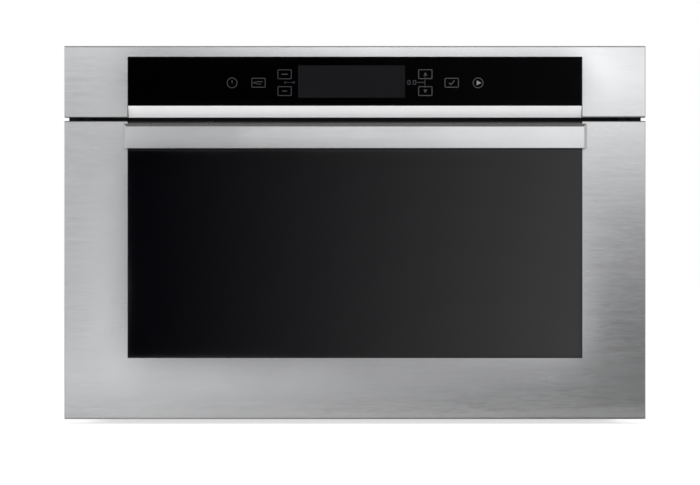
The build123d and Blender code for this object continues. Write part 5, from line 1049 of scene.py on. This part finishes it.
@dataclass
class OvenLamp:
    """The bulb: a thin envelope, a plated cap and a filament on two stays."""

    y: float = 0.1152
    z: float = 0.210
    base_x: float = 0.2299
    end_x: float = 0.2169
    radius: float = 0.007
    wall: float = 0.0004
    cap_radius: float = 0.0045
    cap_length: float = 0.005
    stay_radius: float = 0.00018
    wire_radius: float = 0.00008
    coil_radius: float = 0.0004
    coil_pitch: float = 0.0002
    coil_sides: int = 4
    coil_pieces: int = 16

    def build(self) -> None:
        """Builds the three pieces."""
        cap_x = self.base_x - self.cap_length
        self.build_envelope(cap_x)
        self.build_cap(cap_x)
        self.build_filament(cap_x)

    def build_envelope(self, cap_x: float) -> None:
        """Blows the envelope: a neck in the cap, a shoulder and a round end, all of one wall."""
        neck = self.cap_radius - 0.0003
        outer = [(neck, cap_x)] + softened([(neck, cap_x - 0.0005), (self.radius, cap_x - 0.0040),
                                            (self.radius, self.end_x)], radius=0.001)[1:]
        for step in range(1, 11):
            turn = pi / 2 * step / 10
            outer.append((self.radius * cos(turn), self.end_x - self.radius * sin(turn)))
        hollow = [(max(0.0, radius - self.wall), min(along + self.wall if index else along, cap_x))
                  for index, (radius, along) in enumerate(reversed(outer[1:]))]
        shape = bmesh.new()
        self.spin(shape, outer + hollow + [(neck - self.wall, cap_x)] + outer[:1])
        finished(shape, "bulb_envelope", BULB_GLASS, "casing", ("lamp_bulb",), smooth=50.0, crisp=False)

    def build_cap(self, cap_x: float) -> None:
        """Turns the cap with its contact and three thread grooves."""
        base, rim = self.base_x, self.cap_radius
        outline = [(0.0, base), (0.0020, base), (0.0024, base - 0.0006), (0.0040, base - 0.0008)]
        for start in (base - 0.0010, base - 0.0022, base - 0.0034):
            outline += [(rim, start), (rim, start - 0.0005), (rim - 0.0005, start - 0.0008)]
        shape = bmesh.new()
        self.spin(shape, outline + [(rim - 0.0002, cap_x), (0.0, cap_x)])
        finished(shape, "bulb_cap", NICKEL_PLATE, "casing", (), smooth=40.0, crisp=False)

    def build_filament(self, cap_x: float) -> None:
        """Winds the filament between two stays."""
        shape = bmesh.new()
        for y in (self.y - 0.0016, self.y + 0.0016):
            rod(shape, (cap_x - 0.0061, y, self.z), (cap_x + 0.0001, y, self.z), self.stay_radius, sides=8)
        coil = [(cap_x - 0.0062 + self.coil_radius * cos(turn), self.y - 0.0016 + self.coil_pitch * index,
                 self.z + self.coil_radius * sin(turn)) for index, turn in
                ((index, 2 * pi * index / self.coil_sides) for index in range(self.coil_pieces + 1))]
        for start, end in zip(coil, coil[1:]):
            rod(shape, start, end, self.wire_radius, sides=6)
        finished(shape, "bulb_filament", SPRING_WIRE, "casing", (), smooth=30.0)

    def spin(self, shape: Shape, outline: Outline) -> None:
        """Spins an outline (radius, x) round the bulb's axis."""
        turned(shape, outline, (0.0, self.y, self.z), X_AXIS, steps=40, out=Z_AXIS)


# ---------------------------------------------------------------- fasteners


@dataclass
class Fasteners:
    """Pan-head screws with a cross recess and threads, at every place the model puts one."""

    body_half: float = 0.274
    side_places: tuple[Flat, ...] = ((-0.1288, 0.0182), (0.1828, 0.0182), (-0.1754, 0.120), (-0.1754, 0.300),
                                     (0.2158, 0.120), (0.2158, 0.300))
    tab: Point = (0.282, -0.1942, 0.3138)
    hinge: Point = (0.265, -0.172, 0.0332)
    post_y: float = -0.202
    head_radius: float = 0.0036
    head_height: float = 0.0018
    shank: float = 0.0019
    length: float = 0.006
    post_length: float = 0.014
    pitch: float = 0.0008
    sides: int = 24

    def build(self) -> None:
        """Builds the case's screws and those of the handle."""
        case, fascia, post = [], [], (HANDLE_SCREW[0], self.post_y, HANDLE_SCREW[1])
        for side in SIDES:
            case += [((self.body_half, y, z), X_AXIS, side) for y, z in self.side_places]
            case.append((self.hinge, (0.0, -1.0, 0.0), side))
            fascia.append((self.tab, (0.0, 0.0, -1.0), side))
        handle = [(post, Y_AXIS, side) for side in SIDES]
        self.drive("case_screws_crossed", ZINC_PLATE, "casing", ("case_screws",), case, self.length)
        self.drive("fascia_screws_crossed", BLACKENED_STEEL, "casing", (), fascia, self.length)
        self.drive("handle_screws_crossed", NICKEL_PLATE, "door", ("handle_screws",), handle,
                   self.post_length)

    def drive(self, name: str, finish: Finish, body: str, stands_for: Sequence[str],
              places: Sequence[tuple[Point, Point, int]], length: float) -> None:
        """Makes one piece of several equal screws.

        Args:
            name: the piece's name.
            finish: its finish.
            body: the body it rides on.
            stands_for: nodes that it replaces.
            places: for each screw the middle of its seat and the way its head points, both for the right side, and
                the side it is on, 1 for right and -1 for left.
            length: length under the head.
        """
        shape = bmesh.new()
        for (x, y, z), (way_x, way_y, way_z), side in places:
            self.screw(shape, (side * x, y, z), (side * way_x, way_y, way_z), length)
        finished(shape, name, finish, body, stands_for, smooth=30.0, crisp=False)

    def screw(self, shape: Shape, place: Point, way: Point, length: float) -> None:
        """Adds one screw.

        Args:
            shape: the bmesh to add to.
            place: the middle of its head's seat.
            way: the way its head points.
            length: length under the head.
        """
        part = bmesh.new()
        shank, radius, height = self.shank, self.head_radius, self.head_height
        outline = [(0.0, -length), (shank * 0.45, -length), (shank * 0.8, -length + self.pitch * 0.6)]
        for thread in range(1, int(length / self.pitch)):
            foot = -length + self.pitch * thread
            outline += [(shank * 0.82, foot), (shank, foot + self.pitch * 0.4)]
        outline += [(shank * 0.85, 0.0), (radius, 0.0), (radius, height * 0.35), (radius * 0.92, height * 0.7),
                    (radius * 0.72, height * 0.95), (radius * 0.60, height)]
        turned(part, outline, (0.0, 0.0, 0.0), Z_AXIS, self.sides)
        self.cross(part)
        part.transform(Matrix.Translation(place) @ turn_to(way))
        mesh = bpy.data.meshes.new("one_screw")
        part.to_mesh(mesh)
        part.free()
        shape.from_mesh(mesh)
        bpy.data.meshes.remove(mesh)

    def cross(self, part: Shape) -> None:
        """Closes a head's top round a cross, and sinks the cross so that it narrows downwards."""
        rim = [edge for edge in part.edges if edge.is_boundary]
        arm, half = self.head_radius * 0.50, self.head_radius * 0.11
        quarters = [Matrix.Rotation(pi / 2 * quarter, 3, "Z") for quarter in range(4)]
        verts = [part.verts.new(turn @ Vector((x, y, self.head_height))) for turn in quarters
                 for x, y in ((arm, -half), (arm, half), (half, half))]
        marks = [part.edges.new(pair) for pair in zip(verts, verts[1:] + verts[:1])]
        bmesh.ops.triangle_fill(part, edges=rim + marks, use_beauty=True, use_dissolve=False)
        sunk = part.faces.new(verts)
        bmesh.ops.recalc_face_normals(part, faces=part.faces)
        bmesh.ops.inset_region(part, faces=[sunk], thickness=self.head_radius * 0.04, depth=-self.head_height * 0.7,
                               use_boundary=True, use_even_offset=True)


# ---------------------------------------------------------------- carried nodes

DRESSING: tuple[tuple[Finish, tuple[str, ...]], ...] = (
    (STEEL, ("control_fascia", "door_frame")),
    # The grip strip's steel is painted light, a painted highlight.
    (GRIP_STEEL_PAINTED_BRIGHT, ("grip_strip",)),
    (FRAME_PAINT, ("front_frame",)),
    # The carrier in the gap is darkened, a painted shade.
    (SHADED_RECESS_MOULDING, ("panel_carrier",)),
    (BLACK_MOULDING, ("inner_frame", "choke_cover", "interlock_brackets", "interlock_switches", "drive_coupler",
                      "fan_impeller", "hv_diode")),
    (GREY_MOULDING, ("display_module", "fan_housing", "lamp_holder", "thermal_cutout")),
    (WHITE_MOULDING, ("air_duct",)),
    (BOARD, ("control_board", "noise_filter_board")),
    (ZINC, ("top_cover", "base_plate", "back_panel", "component_shelf")),
    (CAVITY_ENAMEL, ("cavity_wrap", "cavity_floor", "cavity_back")),
    (MILL_ALUMINIUM, ("waveguide", "hv_capacitor", "magnetron_core")),
    (MICA, ("waveguide_cover",)),
    (ZINC_PLATE, ("magnetron_yoke", "magnetron_filter_box", "capacitor_clamp", "hinge_arms", "hinge_clevises",
                  "turntable_motor", "fan_motor")),
    (NICKEL_PLATE, ("hinge_pins", "latch_hooks")),
    (IRON, ("transformer_core",)),
    (COPPER, ("transformer_windings",)),
    (CHOKE_STEEL, ("choke_frame",)),
    (SCREEN_PAINT, ("door_screen",)),
    (WINDOW_GLASS, ("inner_window",)),
    (SPRING_WIRE, ("hinge_springs", "latch_spring")),
)


# ---------------------------------------------------------------- studio

Ramp = tuple[float, float, float, float]
Window = tuple[float, float, float]


@dataclass(frozen=True)
class CardGlow:
    """How bright the standing card is, place by place, as each face of the front mirrors it.

    A ramp takes a place between its first two numbers to a strength between its last two. A window is half its width,
    its foot and its head.
    """

    soft: float = 0.002
    tint: Colour = (0.982, 0.990, 1.0)
    rise: Ramp = (0.0, 0.40, 0.0, 1.0)
    rise_power: float = 2.6
    right: Ramp = (0.0, 1.0, 0.29, 1.80)
    left: Ramp = (0.0, 0.24, 0.80, 0.74)
    left_above: Ramp = (0.29, 0.33, 0.0, 1.0)
    left_above_level: float = 0.80
    left_to_right: Ramp = (-0.22, 0.24, 0.0, 1.0)
    pillar_middle: float = -0.270
    pillar: Window = (0.0135, 0.05, 0.28)
    pillar_lift: Ramp = (0.05, 0.28, 1.20, 0.80)
    bar: Window = (0.262, 0.2906, 0.335)
    bar_lift: float = 0.40
    foot_low: float = 0.30
    foot_rim: Ramp = (0.036, 0.046, 0.0, 1.0)
    foot_across: Ramp = (-0.25, 0.20, 0.85, 0.0)
    foot_corner: Ramp = (-0.272, -0.250, 0.30, 1.0)
    foot_end: Ramp = (0.0557, 0.0600, 1.0, 0.0)
    fascia_middle: float = 0.271
    fascia: Window = (0.0135, 0.325, 0.400)
    fascia_lift: float = 0.42
    edge: Ramp = (0.05, 0.25, 0.80, 0.97)
    edge_above: Ramp = (0.385, 0.395, 0.0, 1.0)
    edge_above_level: float = 0.68
    edge_across: Ramp = (0.255, 0.34, 0.0, 1.0)
    top: Ramp = (0.393, 0.400, 0.0, 1.0)
    top_across: Ramp = (0.02, 0.27, 0.78, 0.06)
    top_corner: Ramp = (-0.27, -0.18, 0.60, 1.0)
    fade: Ramp = (0.42, 0.50, 0.0, 1.0)
    fade_level: float = 0.45
    door: Window = (0.2565, 0.0557, 0.2905)
    door_across: Ramp = (-0.26, 0.25, 0.0, 1.0)
    door_power: float = 1.6
    door_fall: Ramp = (0.05, 0.29, 1.10, 0.93)
    panel: Window = (0.2570, 0.3386, 0.3965)
    panel_across: Ramp = (-0.02, 0.25, 0.0, 0.055)

    def strength(self, sheet: Sheet) -> Socket:
        """The card's strength: the steel's gradient, with darker windows where the two glasses mirror it."""
        across, _, up = sheet.node("SeparateXYZ", {0: sheet.place()}).outputs
        steel = sheet.times(self.gradient(sheet, across, up), sheet.plus(self.lift(sheet, across, up), 1.0))
        steel = sheet.times(steel, self.right_edge(sheet, across, up))
        top = sheet.times(sheet.remap(up, *self.top), sheet.remap(across, *self.top_across))
        top = sheet.times(top, sheet.remap(across, *self.top_corner))
        steel = sheet.times(steel, sheet.plus(top, 1.0))
        steel = sheet.between(sheet.remap(up, *self.fade), steel, self.fade_level)
        slope = sheet.maths("POWER", sheet.remap(across, *self.door_across), self.door_power)
        door = sheet.times(slope, sheet.remap(up, *self.door_fall))
        glow = sheet.between(self.window(sheet, across, up, self.door), steel, door)
        return sheet.between(self.window(sheet, across, up, self.panel), glow, sheet.remap(across, *self.panel_across))

    def gradient(self, sheet: Sheet, across: Socket, up: Socket) -> Socket:
        """Even on the left, and rising from dark to bright on the right."""
        rise = sheet.maths("POWER", sheet.remap(up, *self.rise), self.rise_power)
        left = sheet.between(sheet.remap(up, *self.left_above), sheet.remap(up, *self.left), self.left_above_level)
        return sheet.between(sheet.remap(across, *self.left_to_right), left, sheet.remap(rise, *self.right))

    def lift(self, sheet: Sheet, across: Socket, up: Socket) -> Socket:
        """What is added close to the glass: at the left pillar, over the handle, under the door, at the fascia."""
        pillar = sheet.times(self.window(sheet, sheet.maths("SUBTRACT", across, self.pillar_middle), up, self.pillar),
                             sheet.remap(up, *self.pillar_lift))
        bar = sheet.times(self.window(sheet, across, up, self.bar), self.bar_lift)
        rim = sheet.times(sheet.remap(across, *self.foot_across), sheet.remap(across, *self.foot_corner))
        foot = sheet.between(sheet.remap(up, *self.foot_rim), self.foot_low, rim)
        foot = sheet.times(foot, sheet.remap(up, *self.foot_end))
        beside = sheet.maths("SUBTRACT", sheet.maths("ABSOLUTE", across), self.fascia_middle)
        fascia = sheet.times(self.window(sheet, beside, up, self.fascia), self.fascia_lift)
        return sheet.plus(sheet.plus(pillar, sheet.plus(bar, foot)), fascia)

    def right_edge(self, sheet: Sheet, across: Socket, up: Socket) -> Socket:
        """What darkens the steel towards its right edge."""
        edge = sheet.between(sheet.remap(up, *self.edge_above), sheet.remap(up, *self.edge), self.edge_above_level)
        return sheet.between(sheet.remap(across, *self.edge_across), 1.0, edge)

    def window(self, sheet: Sheet, across: Socket, up: Socket, box: Window) -> Socket:
        """One inside a centred window, nothing outside, with a soft rim.

        Args:
            sheet: the card's sheet.
            across: distance from the window's middle.
            up: place along Z.
            box: the window.

        Returns:
            The mask.
        """
        half, low, high = box
        wide = sheet.remap(sheet.maths("ABSOLUTE", across), half - self.soft, half + self.soft, 1.0, 0.0)
        above = sheet.remap(up, low - self.soft, low + self.soft)
        below = sheet.remap(up, high - self.soft, high + self.soft, 1.0, 0.0)
        return sheet.times(wide, sheet.times(above, below))


@dataclass(frozen=True)
class Lamp:
    """One square soft lamp: where it hangs, where it aims, its side and its power in watts."""

    name: str
    place: Point
    aim: Point
    size: float
    power: float
    mirrored: bool = True

    def build(self) -> bpy.types.Object:
        """Hangs the lamp."""
        light = bpy.data.lights.new(self.name, "AREA")
        light.size = self.size
        light.energy = self.power
        made = bpy.data.objects.new(self.name, light)
        made.location = self.place
        made.rotation_euler = (Vector(self.aim) - Vector(self.place)).to_track_quat("-Z", "Y").to_euler()
        made.visible_glossy = self.mirrored
        return made


@dataclass
class Studio:
    """A pale floor, a white background, soft lamps, two graded cards, a flag and the camera."""

    middle: Point = (-0.0051, -0.208, 0.1858)
    distance: float = 4.0
    sensor: float = 36.0
    field_width: float = 0.7164
    clip: Flat = (0.1, 50.0)
    floor_half: float = 6.0
    floor_glow: float = 0.70
    floor_greys: tuple[Colour, Colour] = ((0.50, 0.50, 0.50), (0.53, 0.53, 0.53))
    card_half: float = 0.9
    card_y: float = -0.608
    card_rows: Flat = (0.002, 0.75)
    low_card_z: float = 0.001
    low_card_rows: Flat = (-0.607, -0.212)
    low_card_bright: Flat = (-0.37, -0.27)
    low_card_soft: float = 0.01
    low_card_level: float = 0.8
    low_card_across: Ramp = (-0.25, 0.22, 0.46, 0.0)
    flag_half: float = 0.36
    flag_z: float = 0.62
    flag_rows: Flat = (-0.40, -0.11)
    flag_level: float = 0.16
    fill_light: float = 0.55
    gloss_light: float = 0.72
    lamps: tuple[Lamp, ...] = (
        Lamp("lamp_right", (1.6, -2.2, 1.9), (0.2, -0.2, 0.25), 1.2, 26.0),
        Lamp("lamp_left", (-1.9, -1.7, 1.2), (-0.2, -0.2, 0.2), 1.0, 16.0),
        Lamp("lamp_top", (0.0, 0.3, 2.6), (0.0, 0.0, 0.2), 1.6, 9.0),
        Lamp("lamp_low", (0.0, -2.6, 0.25), (0.0, -0.2, 0.32), 0.9, 50.0, mirrored=False),
    )

    def build(self) -> None:
        """Builds all of it."""
        self.build_world()
        self.build_floor()
        self.build_cards()
        for lamp in self.lamps:
            self.show(lamp.build())
        self.build_camera()
        bpy.context.scene.view_settings.view_transform = "Standard"

    def build_world(self) -> None:
        """White for the camera and through glass, softer in reflections and for the light it gives."""
        world = bpy.data.worlds.new("studio_world")
        world.use_nodes = True
        bpy.context.scene.world = world
        sheet = Sheet(world.node_tree)
        strength = sheet.remap(self.seen(sheet), 0.0, 1.0, self.fill_light, 1.0)
        strength = sheet.between(sheet.node("LightPath").outputs["Is Glossy Ray"], strength, self.gloss_light)
        back = sheet.node("Background", {"Color": WHITE, "Strength": strength})
        sheet.node("OutputWorld", {"Surface": back.outputs[0]})

    def seen(self, sheet: Sheet) -> Socket:
        """One for rays of the camera, straight or through glass, and nothing for others."""
        path = sheet.node("LightPath").outputs
        return sheet.maths("MAXIMUM", path["Is Camera Ray"], path["Is Transmission Ray"])

    def build_floor(self) -> None:
        """A pale floor that keeps the oven's shadow."""
        material, sheet = new_material("studio_floor_paint")
        shade = sheet.mix(sheet.noise(sheet.place(), scale=40.0), *self.floor_greys)
        sheet.surface("BsdfPrincipled", {"Base Color": shade, "Roughness": 0.9, "Emission Color": WHITE,
                                         "Emission Strength": sheet.times(self.seen(sheet), self.floor_glow)})
        half = self.floor_half
        self.plane("studio_floor", material, half, (-half, 0.0), (half, 0.0))

    def build_cards(self) -> None:
        """Stands a graded card before the oven, lays one on the floor for the grip strip, and hangs a flag over it."""
        glow, (low, high), (far, near) = CardGlow(), self.card_rows, self.low_card_rows
        self.card("studio_card", "studio_card_glow", glow.tint, glow.strength, self.card_half, (self.card_y, low),
                  (self.card_y, high))
        self.card("studio_low_card", "studio_low_card_glow", WHITE, self.low_strength, self.card_half,
                  (far, self.low_card_z), (near, self.low_card_z))
        self.card("studio_flag", "studio_flag_cloth", (self.flag_level,) * 3, lambda sheet: 1.0, self.flag_half,
                  (self.flag_rows[0], self.flag_z), (self.flag_rows[1], self.flag_z))

    def low_strength(self, sheet: Sheet) -> Socket:
        """The low card's strength: bright in the rows that the grip strip mirrors, graded across beyond."""
        across, along, _ = sheet.node("SeparateXYZ", {0: sheet.place()}).outputs
        far, near = self.low_card_bright
        bright = sheet.times(sheet.remap(along, far - self.low_card_soft, far),
                             sheet.remap(along, near, near + self.low_card_soft, 1.0, 0.0))
        return sheet.between(bright, sheet.remap(across, *self.low_card_across), self.low_card_level)

    def card(self, name: str, skin: str, colour: Colour, strength: Callable[[Sheet], object], half: float,
             first: Flat, last: Flat) -> None:
        """Makes a glowing card that only mirrored rays see.

        Args:
            name: its name.
            skin: its material's name.
            colour: its colour.
            strength: fills a sheet and returns the card's strength.
            half: half its width.
            first: Y and Z of one level edge.
            last: Y and Z of the other.
        """
        material, sheet = new_material(skin)
        sheet.surface("Emission", {"Color": colour, "Strength": strength(sheet)})
        made = self.plane(name, material, half, first, last)
        for ray in ("camera", "shadow", "diffuse", "transmission"):
            setattr(made, f"visible_{ray}", False)

    def plane(self, name: str, material: bpy.types.Material, half: float, first: Flat, last: Flat) -> bpy.types.Object:
        """Makes a flat stage piece between two level edges at (y, z)."""
        shape = bmesh.new()
        corners = [(-half, *first), (half, *first), (half, *last), (-half, *last)]
        shape.faces.new([shape.verts.new(corner) for corner in corners])
        made = new_object(shape, name, material)
        self.show(made)
        return made

    def build_camera(self) -> None:
        """Looks straight at the face from the front, as in the photograph."""
        camera = bpy.data.cameras.new("studio_camera")
        camera.sensor_width = self.sensor
        camera.lens = self.sensor * self.distance / self.field_width
        camera.clip_start, camera.clip_end = self.clip
        made = bpy.data.objects.new("studio_camera", camera)
        made.location = (self.middle[0], self.middle[1] - self.distance, self.middle[2])
        made.rotation_euler = (pi / 2, 0.0, 0.0)
        self.show(made)
        bpy.context.scene.camera = made

    def show(self, piece: bpy.types.Object) -> None:
        """Links a stage piece to the scene."""
        bpy.context.scene.collection.objects.link(piece)


def main() -> None:
    """Builds every sub-assembly, dresses the rest and sets up the studio."""
    for assembly in (ControlPanel(), DoorGlass(), Handle(), Turntable(), Underside(), OvenLamp(), Fasteners()):
        assembly.build()
    for finish, nodes in DRESSING:
        dress(finish, nodes)
    Studio().build()


if __name__ == "__main__":
    main()
